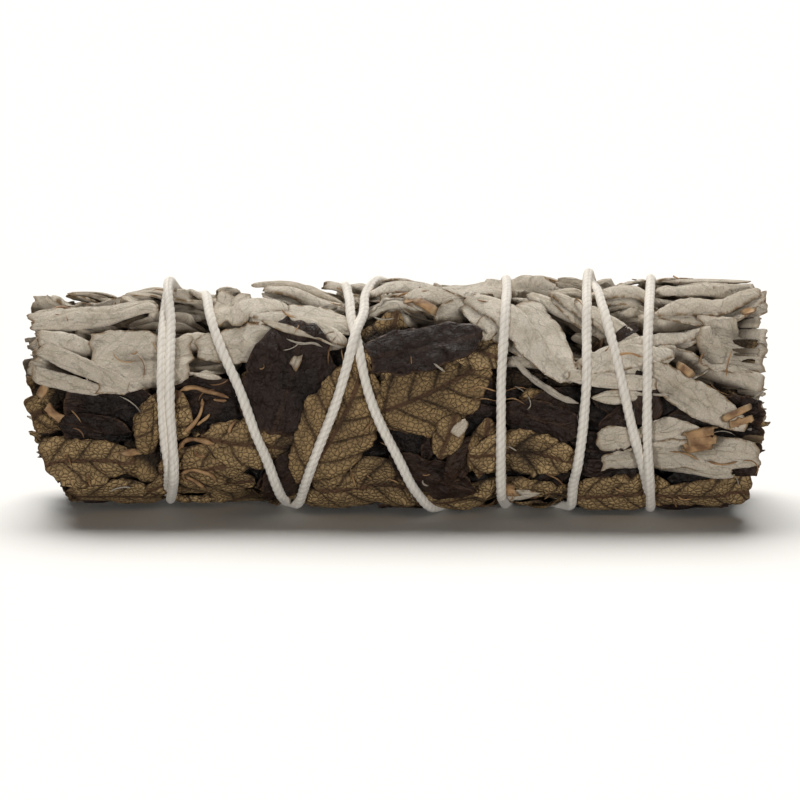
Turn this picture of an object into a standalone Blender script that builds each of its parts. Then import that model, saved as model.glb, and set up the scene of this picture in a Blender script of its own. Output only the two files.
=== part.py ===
"""A short bunch of dried sage, lying on its side and bound with cotton string.

X runs along the bunch, Z is up, and the origin is on the surface under its middle. A place on the
bunch is an X and a turn: the angle round the axis, 0 at the front (-Y), 90 on top, 180 at the back
and 270 underneath. Each leafy sprig is one solid: a packed body that fills its own sector of the
bunch, and leaf blades that stand out of it. Where blades of two sprigs meet, the sprig of the
higher rank lies on top, and the other is cut back clear of it.
"""

import heapq
import math
import random
from typing import NamedTuple

import bmesh
import bpy
from mathutils import Vector
from mathutils.bvhtree import BVHTree

MM = 0.001

# The bunch: half its length, the height of its axis, and its radius along X (X, radius).
HALF_LENGTH = 49.0 * MM
AXIS_HEIGHT = 15.0 * MM
RADIUS_ALONG_X = (
    (-50 * MM, 13.2 * MM),
    (-40 * MM, 13.7 * MM),
    (-28 * MM, 14.5 * MM),
    (-10 * MM, 15.3 * MM),
    (12 * MM, 15.9 * MM),
    (32 * MM, 15.6 * MM),
    (50 * MM, 15.1 * MM),
)

# Leaves, the stub and the string are placed as they are seen from the front: turns count from the
# line of sight, which comes down this many degrees, and near things look further from the middle.
SIGHT_TILT = 10.0
SIGHT_DISTANCE = 600.0 * MM

# The packed bodies: how far they lie under the leaf line, the gap between them, and their rings.
BODY_DEPTH = 1.2 * MM
BODY_FLOOR = 1.3 * MM
SPRIG_GAP = 0.6 * MM
OUTER_REACH = 0.58
MIDDLE_REACH = 0.24
BODY_STATIONS = 12
INNER_STATIONS = 5
BOUNDARY_WAVE = 2.2

# The blades: how far each level stands over the leaf line, their thickness, and their mesh.
LEVEL_RISE = (-0.55 * MM, -0.2 * MM, 0.15 * MM, 0.5 * MM)
TOP_LEVEL = len(LEVEL_RISE) - 1
LEVEL_FLOOR = 0.35 * MM
SUNK_THICKNESS = 1.9 * MM
FREE_THICKNESS = 0.8 * MM
CROWN = 0.35 * MM
BLADE_STEP = 5.0 * MM
BLADE_CROSS_STEP = 5.2 * MM
EDGE_WAVE = 0.07
CLEARANCE = 0.35 * MM
CUT_REACH = 50.6 * MM
END_STAGGER = 1.6 * MM
CUTTER_RISE = 6.0 * MM
MOST_FACETS = 1150
MOST_GROOVED_FACETS = 1500
FACET_SHIFT = 0.2 * MM

# The string: its diameter, the gap under it, and where it passes on each turn.
STRING_DIAMETER = 1.3 * MM
STRING_SIDES = 5
STRING_STEP = 4.0 * MM
STRING_GAP = 0.3 * MM
GROOVE_GAP = 0.25 * MM
CROSSING_WIDTH = 3.4 * MM
KNOT_TURN = 180.0
KNOT_X = -31.2 * MM
KNOT_RADIUS = 2.1 * MM
GROOVED = ("dark_leaf_sprig_1", "dark_leaf_sprig_2", "dark_leaf_sprig_3", "dark_leaf_sprig_4")

SAGE_COLOUR = (0.56, 0.53, 0.45, 1.0)
DARK_COLOUR = (0.16, 0.10, 0.055, 1.0)
STEM_COLOUR = (0.34, 0.23, 0.12, 1.0)
STRING_COLOUR = (0.82, 0.79, 0.71, 1.0)


class Leaf(NamedTuple):
    """A leaf blade: X and turn of its middle as seen, length and width in millimetres, the slant of
    its rib in degrees, its level, and the shares of a whole leaf at which it begins and ends."""

    x: float
    turn: float
    length: float
    width: float
    slant: float
    level: int
    begin: float = 0.0
    end: float = 1.0


class Sprig(NamedTuple):
    """A sprig's sector of the outer ring, in degrees, its rank, its leaves' kind and the leaves
    that are placed by hand."""

    low: float
    high: float
    rank: int
    dark: bool
    leaves: tuple


SPRIGS = {
    "white_sage_sprig_1": Sprig(15, 50, 6, False, (
        Leaf(-42.2, 26, 14, 5.0, -14, 2, 0.3, 1.0),
        Leaf(-42.5, 16, 13, 5.0, -22, 1, 0.3, 1.0),
        Leaf(-33.5, 23, 14, 9.5, 4, 3, 0.35, 0.8),
        Leaf(-25.5, 19, 10, 4.0, 0, 1),
        Leaf(-21.4, 29, 10, 5.5, 0, 2, 0.2, 0.9),
        Leaf(-13.5, 33, 13, 4.5, -20, 1),
        Leaf(20.5, 28, 15, 8.0, -52, 3, 0.3, 1.0),
        Leaf(15.0, 36, 15, 7.0, -42, 2),
        Leaf(30.0, 27, 12, 5.0, -18, 1),
        Leaf(31.0, 14, 14, 6.0, 12, 2),
        Leaf(38.5, 33, 11, 8.0, 5, 2, 0.3, 0.8),
        Leaf(45.0, 26, 11, 8.5, -3, 3, 0.25, 0.75),
        Leaf(44.0, 11, 11, 5.5, -14, 1),
    )),
    "white_sage_sprig_2": Sprig(50, 86, 7, False, (
        Leaf(-41.0, 53, 17, 6.5, 9, 3, 0.3, 1.0),
        Leaf(-38.0, 41, 10, 4.5, -10, 1),
        Leaf(-22.3, 60, 9, 6.0, 80, 3, 0.3, 0.75),
        Leaf(-29.0, 52, 12, 6.0, -6, 1),
        Leaf(-18.5, 47, 11, 5.0, 0, 2),
        Leaf(-10.8, 42, 14, 7.0, 5, 3, 0.1, 0.9),
        Leaf(-10.0, 60, 16, 5.0, 4, 2),
        Leaf(1.5, 66, 13, 6.0, -6, 1),
        Leaf(7.5, 55, 14, 6.0, 4, 2),
        Leaf(11.0, 70, 14, 7.0, 3, 3, 0.2, 0.9),
        Leaf(10.0, 46, 9, 5.0, 10, 1),
        Leaf(22.5, 48, 17, 5.0, -38, 2),
        Leaf(24.5, 60, 16, 5.0, -30, 1),
        Leaf(33.0, 50, 13, 6.0, 0, 1),
        Leaf(43.0, 50, 16, 6.0, 16, 3),
        Leaf(35.0, 67, 14, 5.0, -3, 2),
    )),
    "white_sage_sprig_3": Sprig(86, 120, 3, False, (Leaf(42.5, 76, 15, 5.0, 4, 3),)),
    "white_sage_sprig_4": Sprig(120, 152, 5, False, ()),
    "white_sage_sprig_5": Sprig(152, 188, 2, False, ()),
    "dark_leaf_sprig_1": Sprig(188, 220, 4, True, ()),
    "dark_leaf_sprig_2": Sprig(220, 252, 1, True, ()),
    "dark_leaf_sprig_3": Sprig(252, 292, 0, True, (
        Leaf(-27.0, 258, 24, 11.0, 4, 2),
        Leaf(1.0, 260, 30, 13.0, -3, 3),
        Leaf(30.0, 261, 26, 12.0, 5, 2),
        Leaf(-41.0, 266, 14, 9.0, -8, 1),
        Leaf(44.5, 258, 11, 9.0, 0, 1, 0.1, 0.7),
        Leaf(-13.0, 252, 18, 9.0, 12, 1),
        Leaf(17.0, 269, 18, 9.0, -10, 1),
    )),
    "dark_leaf_sprig_4": Sprig(292, 338, 8, True, (
        Leaf(-41.5, 317, 14, 8.0, 10, 2, 0.25, 1.0),
        Leaf(-36.5, 298, 16, 8.5, 0, 1),
        Leaf(-26.0, 314, 12, 7.0, 12, 2),
        Leaf(-14.5, 311, 12, 7.0, 55, 1),
        Leaf(-4.5, 305, 24, 10.0, 3, 3),
        Leaf(6.0, 315, 13, 7.0, -28, 1),
        Leaf(16.5, 299, 22, 9.0, 0, 2),
        Leaf(28.0, 316, 15, 9.0, -12, 1),
        Leaf(30.0, 299, 16, 8.0, 4, 1),
        Leaf(42.5, 302, 16, 9.0, 6, 3, 0.1, 0.85),
    )),
    "dark_leaf_sprig_5": Sprig(338, 375, 9, True, (
        Leaf(-39.0, 354, 16, 9.5, -8, 3),
        Leaf(-31.5, 342, 12, 8.0, 60, 2),
        Leaf(-24.5, 356, 14, 9.5, -6, 1),
        Leaf(-14.5, 371, 16, 12.5, 76, 3, 0.12, 0.95),
        Leaf(-17.0, 333, 19, 9.0, -5, 2),
        Leaf(-8.0, 345, 20, 10.0, 62, 3),
        Leaf(-2.0, 386, 11, 8.5, 10, 1),
        Leaf(3.0, 363, 20, 10.5, 27, 2),
        Leaf(4.0, 384, 16, 7.5, 13, 3),
        Leaf(11.0, 383, 10, 6.0, -22, 2),
        Leaf(2.0, 348, 12, 8.0, 100, 1),
        Leaf(14.0, 352, 14, 9.0, -20, 1),
        Leaf(17.0, 331, 17, 10.0, -5, 3),
        Leaf(24.0, 348, 15, 8.0, -24, 1),
        Leaf(34.0, 344, 12, 7.0, 0, 1),
        Leaf(44.0, 341, 12, 8.0, 0, 1, 0.1, 0.75),
    )),
}

# The short sage sprig that lies on top of the dark leaves, front right, with its cut woody stem.
FRONT_SPRIG = "white_sage_sprig_6"
FRONT_LEAVES = (
    Leaf(41.0, 358, 14, 5.5, -30, 3, 0.15, 0.95),
    Leaf(33.5, 342, 14, 6.0, 6, 2),
    Leaf(38.5, 329, 21, 6.5, 4, 3, 0.1, 0.9),
    Leaf(40.0, 345, 13, 6.5, 5, 1),
)
STUB = {"x": 40.8 * MM, "turn": 340.0, "length": 7.0 * MM, "radius": 1.9 * MM, "slant": 4.0}

# X in millimetres of the string, as seen, at each quarter turn: top, front, underneath, back and so on.
STRING_QUARTERS = (
    -30.4, -31.9, -31.3, -30.2,
    -26.1, -21.0, -14.6, -10.5,
    -6.7, -3.5, 6.9, 11.5,
    15.0, 14.4, 15.0, 20.5,
    25.6, 31.2, 34.3, 35.6,
    34.9, 34.2, 31.2, 31.0,
    27.4, 25.9, 22.1, 10.0,
    -2.7, -7.8, -13.8, -21.5,
    -28.7, -30.2, -29.6,
)
STRING_START = ((-36.5, 168.0), (-33.8, 172.0))
STRING_FINISH = ((-28.5, 189.0), (-26.0, 196.0))


def clear_scene():
    for item in list(bpy.data.objects):
        bpy.data.objects.remove(item, do_unlink=True)


def material(name, colour, roughness):
    made = bpy.data.materials.new(name)
    made.use_nodes = True
    shader = made.node_tree.nodes["Principled BSDF"]
    shader.inputs["Base Color"].default_value = colour
    shader.inputs["Roughness"].default_value = roughness
    made.diffuse_color = colour
    return made


def eased(table, x):
    """The value at x of a table of (x, value) pairs, eased between them."""
    if x <= table[0][0]:
        return table[0][1]
    for (x0, low), (x1, high) in zip(table, table[1:]):
        if x <= x1:
            share = (x - x0) / (x1 - x0)
            share = share * share * (3 - 2 * share)
            return low + (high - low) * share
    return table[-1][1]


def bundle_radius(x):
    return eased(RADIUS_ALONG_X, x)


def place(x, turn, radius):
    """The point at this X, turn in degrees and distance from the axis."""
    angle = math.radians(turn)
    return Vector((x, -radius * math.cos(angle), AXIS_HEIGHT + radius * math.sin(angle)))


def true_place(x, turn):
    """The X in millimetres and the turn of what is seen at this X and turn."""
    nearer = bundle_radius(x * MM) * math.cos(math.radians(turn)) / SIGHT_DISTANCE
    return x * (1 - nearer), turn + SIGHT_TILT


def over_floor(radius, turn, gap):
    """The radius, shortened where it would reach lower than gap over the surface it rests on."""
    down = -math.sin(math.radians(turn))
    if down < 0.3:
        return radius
    return min(radius, (AXIS_HEIGHT - gap) / down)


def mesh_object(name, points, faces):
    mesh = bpy.data.meshes.new(name)
    mesh.from_pydata(points, [], faces)
    mesh.validate()
    made = bpy.data.objects.new(name, mesh)
    bpy.context.scene.collection.objects.link(made)
    shape = bmesh.new()
    shape.from_mesh(mesh)
    bmesh.ops.recalc_face_normals(shape, faces=shape.faces)
    shape.to_mesh(mesh)
    shape.free()
    return made


def slab(name, top, bottom):
    """A closed solid between two grids of points with the same rows and columns."""
    rows, columns = len(top), len(top[0])
    points = [point for grid in (top, bottom) for row in grid for point in row]
    under = rows * columns
    faces = []
    for i in range(rows - 1):
        for j in range(columns - 1):
            a = i * columns + j
            faces.append((a, a + 1, a + columns + 1, a + columns))
            faces.append((under + a, under + a + columns, under + a + columns + 1, under + a + 1))
    rim = [j for j in range(columns)]
    rim += [i * columns + columns - 1 for i in range(1, rows)]
    rim += [(rows - 1) * columns + j for j in range(columns - 2, -1, -1)]
    rim += [i * columns for i in range(rows - 2, 0, -1)]
    for a, b in zip(rim, rim[1:] + rim[:1]):
        faces.append((a, b, under + b, under + a))
    return mesh_object(name, points, faces)


def lofted(name, rings):
    """A closed solid through rings of points, with a flat cap on each end."""
    count = len(rings[0])
    points = [point for ring in rings for point in ring]
    faces = [tuple(range(count))]
    for i in range(len(rings) - 1):
        for j in range(count):
            a, b = i * count + j, i * count + (j + 1) % count
            faces.append((a, b, b + count, a + count))
    faces.append(tuple((len(rings) - 1) * count + j for j in range(count)))
    return mesh_object(name, points, faces)


def boolean(body, operation, others):
    """Joins the others to the body, or cuts them from it, and removes them."""
    if not others:
        return
    group = bpy.data.collections.new("operands")
    bpy.context.scene.collection.children.link(group)
    for other in others:
        for owner in other.users_collection:
            owner.objects.unlink(other)
        group.objects.link(other)
    change = body.modifiers.new("change", "BOOLEAN")
    change.operation = operation
    change.operand_type = "COLLECTION"
    change.collection = group
    change.solver = "MANIFOLD"
    bpy.context.view_layer.objects.active = body
    bpy.ops.object.modifier_apply(modifier=change.name)
    for other in list(group.objects):
        bpy.data.objects.remove(other, do_unlink=True)
    bpy.data.collections.remove(group)


def keep_largest(body):
    """Drops the loose scraps that cutting leaves, also those that touch the rest at one edge."""
    shape = bmesh.new()
    shape.from_mesh(body.data)
    bmesh.ops.dissolve_degenerate(shape, dist=0.002 * MM, edges=shape.edges)
    bmesh.ops.triangulate(shape, faces=shape.faces)
    waiting = set(shape.faces)
    islands = []
    while waiting:
        island, edge = set(), [waiting.pop()]
        while edge:
            face = edge.pop()
            island.add(face)
            joined = [e.link_faces for e in face.edges if len(e.link_faces) == 2]
            near = {other for pair in joined for other in pair} & waiting
            waiting -= near
            edge.extend(near)
        islands.append(island)
    islands.sort(key=len)
    scraps = [face for island in islands[:-1] for face in island]
    bmesh.ops.delete(shape, geom=scraps, context="FACES")
    shape.to_mesh(body.data)
    shape.free()


def collapse_cost(points, faces, around, a, b):
    """How far the surface moves when point a is drawn onto its neighbour b, or None where that
    would fold the surface or make it touch itself."""
    near_a = {v for f in around[a] for v in faces[f]}
    near_b = {v for f in around[b] for v in faces[f]}
    if len(near_a & near_b) != 4:
        return None
    step = points[b] - points[a]
    cost = 0.02 * step.length
    for f in around[a] - around[b]:
        old = [points[v] for v in faces[f]]
        new = [points[b] if v == a else points[v] for v in faces[f]]
        before = (old[1] - old[0]).cross(old[2] - old[0])
        after = (new[1] - new[0]).cross(new[2] - new[0])
        if after.length < 1e-3 or before.dot(after) < 0.55 * before.length * after.length:
            return None
        cost = max(cost, abs(step.dot(before)) / max(before.length, 1e-6))
    return cost


def thin_out(body, most):
    """Draws points onto their neighbours, where the surface moves least, until no more than this
    many triangles are left. It stops early where the surface would move over FACET_SHIFT."""
    points = [vertex.co / MM for vertex in body.data.vertices]
    faces = [tuple(polygon.vertices) for polygon in body.data.polygons]
    around = [set() for _ in points]
    for f, face in enumerate(faces):
        for v in face:
            around[v].add(f)
    waiting = []

    def offer(a, b):
        cost = collapse_cost(points, faces, around, a, b)
        if cost is not None and cost < FACET_SHIFT / MM:
            heapq.heappush(waiting, (cost, a, b))

    for face in faces:
        for a, b in zip(face, face[1:] + face[:1]):
            offer(a, b)
            offer(b, a)
    left = len(faces)
    while waiting and left > most:
        cost, a, b = heapq.heappop(waiting)
        if not around[a] & around[b]:
            continue
        now = collapse_cost(points, faces, around, a, b)
        if now is None:
            continue
        if now > cost + 1e-6:
            offer(a, b)
            continue
        for f in around[a] & around[b]:
            for v in faces[f]:
                around[v].discard(f)
            faces[f] = None
            left -= 1
        for f in around[a]:
            faces[f] = tuple(b if v == a else v for v in faces[f])
            around[b].add(f)
        around[a] = set()
        for v in {v for f in around[b] for v in faces[f]} - {b}:
            offer(v, b)
            offer(b, v)
    kept = [face for face in faces if face]
    used = sorted({v for face in kept for v in face})
    number = {v: i for i, v in enumerate(used)}
    mesh = bpy.data.meshes.new(body.name)
    corners = [tuple(number[v] for v in face) for face in kept]
    mesh.from_pydata([points[v] * MM for v in used], [], corners)
    body.data = mesh


def leaf_half_width(leaf, share):
    """Half the width of a leaf at a share of its length, as a part of a whole pointed oval."""
    along = leaf.begin + (leaf.end - leaf.begin) * share
    return max(0.16, math.sin(math.pi * along) ** 0.7) / 2


def blade(leaf, grow=0.0, cutter=False):
    """A leaf blade bent round the bunch, its lower side sunk in its sprig. A cutter is the same
    blade grown by a clearance and raised, to cut back what the blade lies over."""
    length, width = leaf.length * MM + 2 * grow, leaf.width * MM
    rows = max(4, round(leaf.length * MM / BLADE_STEP))
    columns = max(2, round(leaf.width * MM / BLADE_CROSS_STEP))
    slant = math.radians(leaf.slant)
    cut = CUT_REACH - END_STAGGER * abs(math.sin(leaf.turn * 2.3 + leaf.level)) + 2 * grow
    top, bottom = [], []
    for i in range(rows + 1):
        share = i / rows
        wave = 1 + EDGE_WAVE * (-1) ** i
        half = width * leaf_half_width(leaf, share) * wave + grow
        along = (share - 0.5) * length
        top.append([])
        bottom.append([])
        for j in range(columns + 1):
            across = (2 * j / columns - 1) * half
            x = leaf.x * MM + along * math.cos(slant) - across * math.sin(slant)
            x = max(-cut, min(cut, x))
            radius = bundle_radius(x)
            arc = along * math.sin(slant) + across * math.cos(slant)
            turn = leaf.turn + math.degrees(arc / radius)
            crown = CROWN * (1 - (2 * j / columns - 1) ** 2)
            outer = radius + LEVEL_RISE[leaf.level] + crown
            outer = over_floor(outer, turn, LEVEL_FLOOR * (TOP_LEVEL - leaf.level))
            free = abs(x) > HALF_LENGTH - 1.2 * MM and not cutter
            inner = outer - (FREE_THICKNESS if free else SUNK_THICKNESS)
            if cutter:
                outer, inner = radius + CUTTER_RISE, inner - grow
            top[-1].append(place(x, turn, outer))
            bottom[-1].append(place(x, turn, inner))
    return slab("blade", top, bottom)


def boundary(turn, x, wave):
    """The wavy line between two sectors, in degrees."""
    phase = turn % 360
    bend = math.sin(x / (11.5 * MM) + phase * 0.31) + 0.5 * math.sin(x / (8.3 * MM) + phase)
    return turn + wave * bend


def sector_ring(x, low, high, inner, outer, columns, wave):
    """One cross-section of a sector, drawn in on its two flanks to leave a gap."""
    side = SPRIG_GAP / 2
    ring = []
    for reach, count, step in ((outer, columns, 1), (inner, 2, -1)):
        for j in range(count + 1)[::step]:
            start = boundary(low, x, wave) + math.degrees(side / reach)
            stop = boundary(high, x, wave) - math.degrees(side / reach)
            turn = start + (stop - start) * j / count
            radius = over_floor(reach, turn, BODY_FLOOR)
            ring.append(place(x, turn, radius))
    return ring


def drawn_in(ring, share, x):
    """A cross-section shrunk about its own middle and moved to x."""
    middle = sum(ring, Vector()) / len(ring)
    moved = []
    for point in ring:
        near = middle + (point - middle) * share
        moved.append(Vector((x, near.y, near.z)))
    return moved


def with_cut_ends(rings, draw):
    """The rings, with the relief of a cut end added: packed leaf, a groove, and the stem."""
    made = list(rings)
    for outward in (-1, 1):
        ring = made[0] if outward < 0 else made[-1]
        x = ring[0].x
        groove = x - outward * draw.uniform(0.8, 1.4) * MM
        stem = x + outward * draw.uniform(-0.2, 0.6) * MM
        relief = [
            drawn_in(ring, 0.66, x),
            drawn_in(ring, 0.58, groove),
            drawn_in(ring, 0.38, groove),
            drawn_in(ring, 0.34, stem),
        ]
        made = relief[::-1] + made if outward < 0 else made + relief
    return made


def stations(draw, count):
    """X of each cross-section of a sprig, whose two cut ends differ a little from the others'."""
    start = -HALF_LENGTH + draw.uniform(0.3, 1.6) * MM
    stop = HALF_LENGTH - draw.uniform(0.3, 1.6) * MM
    return [start + (stop - start) * i / count for i in range(count + 1)]


def outer_body(name, sprig, draw):
    """The packed inside of an outer sprig, which fills its sector under its blades."""
    rings = []
    for x in stations(draw, BODY_STATIONS):
        radius = bundle_radius(x)
        inner, outer = radius * OUTER_REACH + SPRIG_GAP / 2, radius - BODY_DEPTH
        rings.append(sector_ring(x, sprig.low, sprig.high, inner, outer, 4, BOUNDARY_WAVE))
    return lofted(name, with_cut_ends(rings, draw))


def sector_cutter(sprig):
    """The space over an outer sprig's body, which a sprig of lower rank keeps out of."""
    rings = []
    reach = HALF_LENGTH + 4 * MM
    for i in range(BODY_STATIONS + 1):
        x = -reach + 2 * reach * i / BODY_STATIONS
        radius = bundle_radius(x)
        inner, outer = radius - 3.2 * MM, radius + CUTTER_RISE
        ring = []
        for distance, order in ((outer, 1), (inner, -1)):
            for j in range(5)[::order]:
                margin = math.degrees(0.1 * MM / distance)
                start = boundary(sprig.low, x, BOUNDARY_WAVE) - margin
                stop = boundary(sprig.high, x, BOUNDARY_WAVE) + margin
                ring.append(place(x, start + (stop - start) * j / 4, distance))
        rings.append(ring)
    return lofted("cutter", rings)


def inner_sprig(name, low, high, draw):
    """A sprig inside the bunch, seen only at its cut ends."""
    rings = []
    for x in stations(draw, INNER_STATIONS):
        radius = bundle_radius(x)
        inner = radius * MIDDLE_REACH + SPRIG_GAP / 2
        outer = radius * OUTER_REACH - SPRIG_GAP / 2
        rings.append(sector_ring(x, low, high, inner, outer, 3, 0.0))
    return lofted(name, with_cut_ends(rings, draw))


def centre_sprig(name, draw):
    rings = []
    for x in stations(draw, INNER_STATIONS):
        reach = bundle_radius(x) * MIDDLE_REACH - SPRIG_GAP
        rings.append([place(x, 45.0 * j, reach) for j in range(8)])
    return lofted(name, with_cut_ends(rings, draw))


def leaves_by_rule(sprig, draw):
    """Leaves for a sprig that the bunch hides from the front: rows that cross over its length."""
    middle = (sprig.low + sprig.high) / 2
    spread = (sprig.high - sprig.low) / 2
    found = []
    for i in range(9):
        x = -43.0 + 10.7 * i + draw.uniform(-1.5, 1.5)
        turn = middle + spread * draw.uniform(-0.45, 0.45)
        slant = draw.uniform(8, 24) * (-1) ** i
        wide = draw.uniform(8.0, 10.5) if sprig.dark else draw.uniform(5.5, 8.0)
        begin = 0.28 if i == 0 else 0.0
        end = 0.72 if i == 8 else 1.0
        found.append(Leaf(x, turn, draw.uniform(14, 18), wide, slant, (i * 2 + 1) % 4, begin, end))
    return found


def leaves_of(name, draw):
    seen = FRONT_LEAVES if name == FRONT_SPRIG else SPRIGS[name].leaves
    leaves = []
    for leaf in seen:
        x, turn = true_place(leaf.x, leaf.turn)
        leaves.append(leaf._replace(x=x, turn=turn))
    if len(leaves) > 2:
        return leaves
    return leaves + leaves_by_rule(SPRIGS[name], draw)


def rank_of(name):
    return 10 if name == FRONT_SPRIG else SPRIGS[name].rank


def stem_stub(grow=0.0):
    """The cut woody stem of the front sprig, half sunk among its leaves."""
    slant = math.radians(STUB["slant"])
    stub_x, stub_turn = true_place(STUB["x"] / MM, STUB["turn"])
    rings = []
    for share in (-0.5, -0.2, 0.15, 0.5):
        along = share * (STUB["length"] + 2 * grow)
        x = stub_x * MM + along * math.cos(slant)
        radius = bundle_radius(x) - 0.2 * MM
        turn = stub_turn + math.degrees(along * math.sin(slant) / radius)
        middle = place(x, turn, radius)
        outward = (middle - Vector((x, 0, AXIS_HEIGHT))).normalized()
        sideways = Vector((1, 0, 0)).cross(outward)
        ring = []
        for j in range(7):
            angle = 2 * math.pi * j / 7
            reach = STUB["radius"] + grow
            ring.append(middle + reach * (math.cos(angle) * outward + math.sin(angle) * sideways))
        rings.append(ring)
    return lofted("stub", rings)


def outer_sprigs():
    """Every outer sprig as one solid, from the highest rank to the lowest."""
    leaves = {}
    for name in [*SPRIGS, FRONT_SPRIG]:
        leaves[name] = leaves_of(name, random.Random(name))
    order = sorted(leaves, key=rank_of, reverse=True)
    made = []
    for i, name in enumerate(order):
        blades = [blade(leaf) for leaf in leaves[name]]
        if name == FRONT_SPRIG:
            body = blades.pop(0)
            blades.append(stem_stub())
        else:
            body = outer_body(name, SPRIGS[name], random.Random(name + " body"))
        body.name = name
        boolean(body, "UNION", blades)
        for higher in order[:i]:
            cutters = [blade(leaf, CLEARANCE, True) for leaf in leaves[higher]]
            if higher == FRONT_SPRIG:
                cutters.append(stem_stub(CLEARANCE))
            boolean(body, "DIFFERENCE", cutters)
            if higher != FRONT_SPRIG:
                boolean(body, "DIFFERENCE", [sector_cutter(SPRIGS[higher])])
        keep_largest(body)
        thin_out(body, MOST_FACETS)
        made.append(body)
    return made


def inner_sprigs():
    made = [centre_sprig("inner_sprig_1", random.Random("inner 1"))]
    for i in range(6):
        name = f"inner_sprig_{i + 2}"
        made.append(inner_sprig(name, 60.0 * i + 12, 60.0 * i + 72, random.Random(name)))
    return made


def string_line():
    """The string's course as (x, turn) points, evenly spaced, the turn falling from end to end."""
    knots = [(KNOT_X / MM, KNOT_TURN)]
    knots += [true_place(x, 90.0 - 90.0 * i) for i, x in enumerate(STRING_QUARTERS)]
    last = 90.0 - 90.0 * len(STRING_QUARTERS)
    knots.append((KNOT_X / MM + 1.3, last))
    lead = [(x, 2 * KNOT_TURN - turn) for x, turn in STRING_START]
    tail = [(x, last - (turn - KNOT_TURN)) for x, turn in STRING_FINISH]
    knots = lead + knots + tail
    fine = []
    for i in range(1, len(knots) - 2):
        for step in range(40):
            fine.append(curve_point(knots[i - 1 : i + 3], step / 40))
    line, run = [fine[0]], 0.0
    for (x0, t0), (x1, t1) in zip(fine, fine[1:]):
        run += math.hypot(x1 - x0, math.radians(t1 - t0) * bundle_radius(x1 * MM) / MM)
        if run >= STRING_STEP / MM:
            line.append((x1, t1))
            run = 0.0
    return [(x * MM, turn) for x, turn in line]


def curve_point(knots, share):
    """A point on the smooth curve between the middle two of four knots."""
    a, b, c, d = knots
    found = []
    for k in range(2):
        even = 2 * b[k] + (c[k] - a[k]) * share
        bent = (2 * a[k] - 5 * b[k] + 4 * c[k] - d[k]) * share**2
        found.append(0.5 * (even + bent + (3 * b[k] - a[k] - 3 * c[k] + d[k]) * share**3))
    return tuple(found)


def surface_radius(trees, x, turn):
    """How far the outermost solid reaches from the axis at this place."""
    start, axis = place(x, turn, 0.03), place(x, turn, 0.0)
    inward = (axis - start).normalized()
    reach = 0.0
    for tree in trees:
        hit = tree.ray_cast(start, inward)[0]
        if hit is not None:
            reach = max(reach, (hit - axis).length)
    return reach


def apart(first, second):
    """Distance over the bunch's surface between two (x, turn) places."""
    turn = (first[1] - second[1] + 180) % 360 - 180
    return math.hypot(first[0] - second[0], math.radians(turn) * bundle_radius(first[0]))


def crossings(line):
    """Pairs of points where a later turn of the string crosses an earlier one."""
    found = []
    stride = round(40 * MM / STRING_STEP)
    for i in range(stride, len(line)):
        knotted = apart(line[i], (KNOT_X, KNOT_TURN)) < 2 * KNOT_RADIUS
        for j in range(i - stride):
            near = apart(line[i], line[j]) < 0.75 * STRING_STEP
            if near and not knotted and crosses(line, i, j):
                found.append((i, j))
    return found


def crosses(line, i, j):
    """Whether the strings at i and j change sides within a few points of there."""
    reach = 3
    if j < reach or i + reach >= len(line):
        return False
    before = line[i - reach][0] - line[j - reach][0]
    after = line[i + reach][0] - line[j + reach][0]
    return before * after < 0


def string_radii(line, trees):
    """The distance of the string's centre from the axis at each of its points, and a list of the
    points where it is drawn into the leaves. It lies taut over them, and rises where it crosses
    itself. Underneath, where nothing may stand lower than the leaves, it is drawn in instead."""
    half = STRING_DIAMETER / 2
    radii = []
    for i, (x, turn) in enumerate(line):
        following = line[min(i + 1, len(line) - 1)]
        spots = [(x, turn), ((x + following[0]) / 2, (turn + following[1]) / 2)]
        previous = line[max(i - 1, 0)]
        spots.append(((x + previous[0]) / 2, (turn + previous[1]) / 2))
        reach = max(
            surface_radius(trees, spot[0] + side, spot[1])
            for spot in spots
            for side in (-0.7 * MM, 0.0, 0.7 * MM)
        )
        radii.append(reach + half + STRING_GAP)
    needed = list(radii)
    for _ in range(6):
        for i in range(1, len(radii) - 1):
            radii[i] = max(needed[i], 0.5 * (radii[i - 1] + radii[i + 1]) - 0.12 * MM)
    limits = [over_floor(1.0, turn, half + 0.12 * MM) for _, turn in line]
    lift = [0.0] * len(line)
    for i, j in crossings(line):
        under = min(radii[i], limits[i]) + STRING_DIAMETER > limits[i]
        for k in range(len(line)):
            if under and abs(k - j) < 12:
                lift[k] = min(lift[k], -rise(apart(line[k], line[i])))
            if not under and abs(k - i) < 12:
                lift[k] = max(lift[k], rise(apart(line[k], line[j])))
    made, sunk = [], []
    for i, (radius, limit, change) in enumerate(zip(radii, limits, lift)):
        made.append(min(radius, limit) + change if change < 0 else min(radius + change, limit))
        if made[-1] < needed[i] - 0.02 * MM:
            sunk.append(i)
    return made, sunk


def rise(distance):
    """How far a string is lifted at this distance from the one that it crosses."""
    if distance >= CROSSING_WIDTH:
        return 0.0
    return (STRING_DIAMETER + 0.2 * MM) * math.cos(math.pi * distance / (2 * CROSSING_WIDTH)) ** 2


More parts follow.
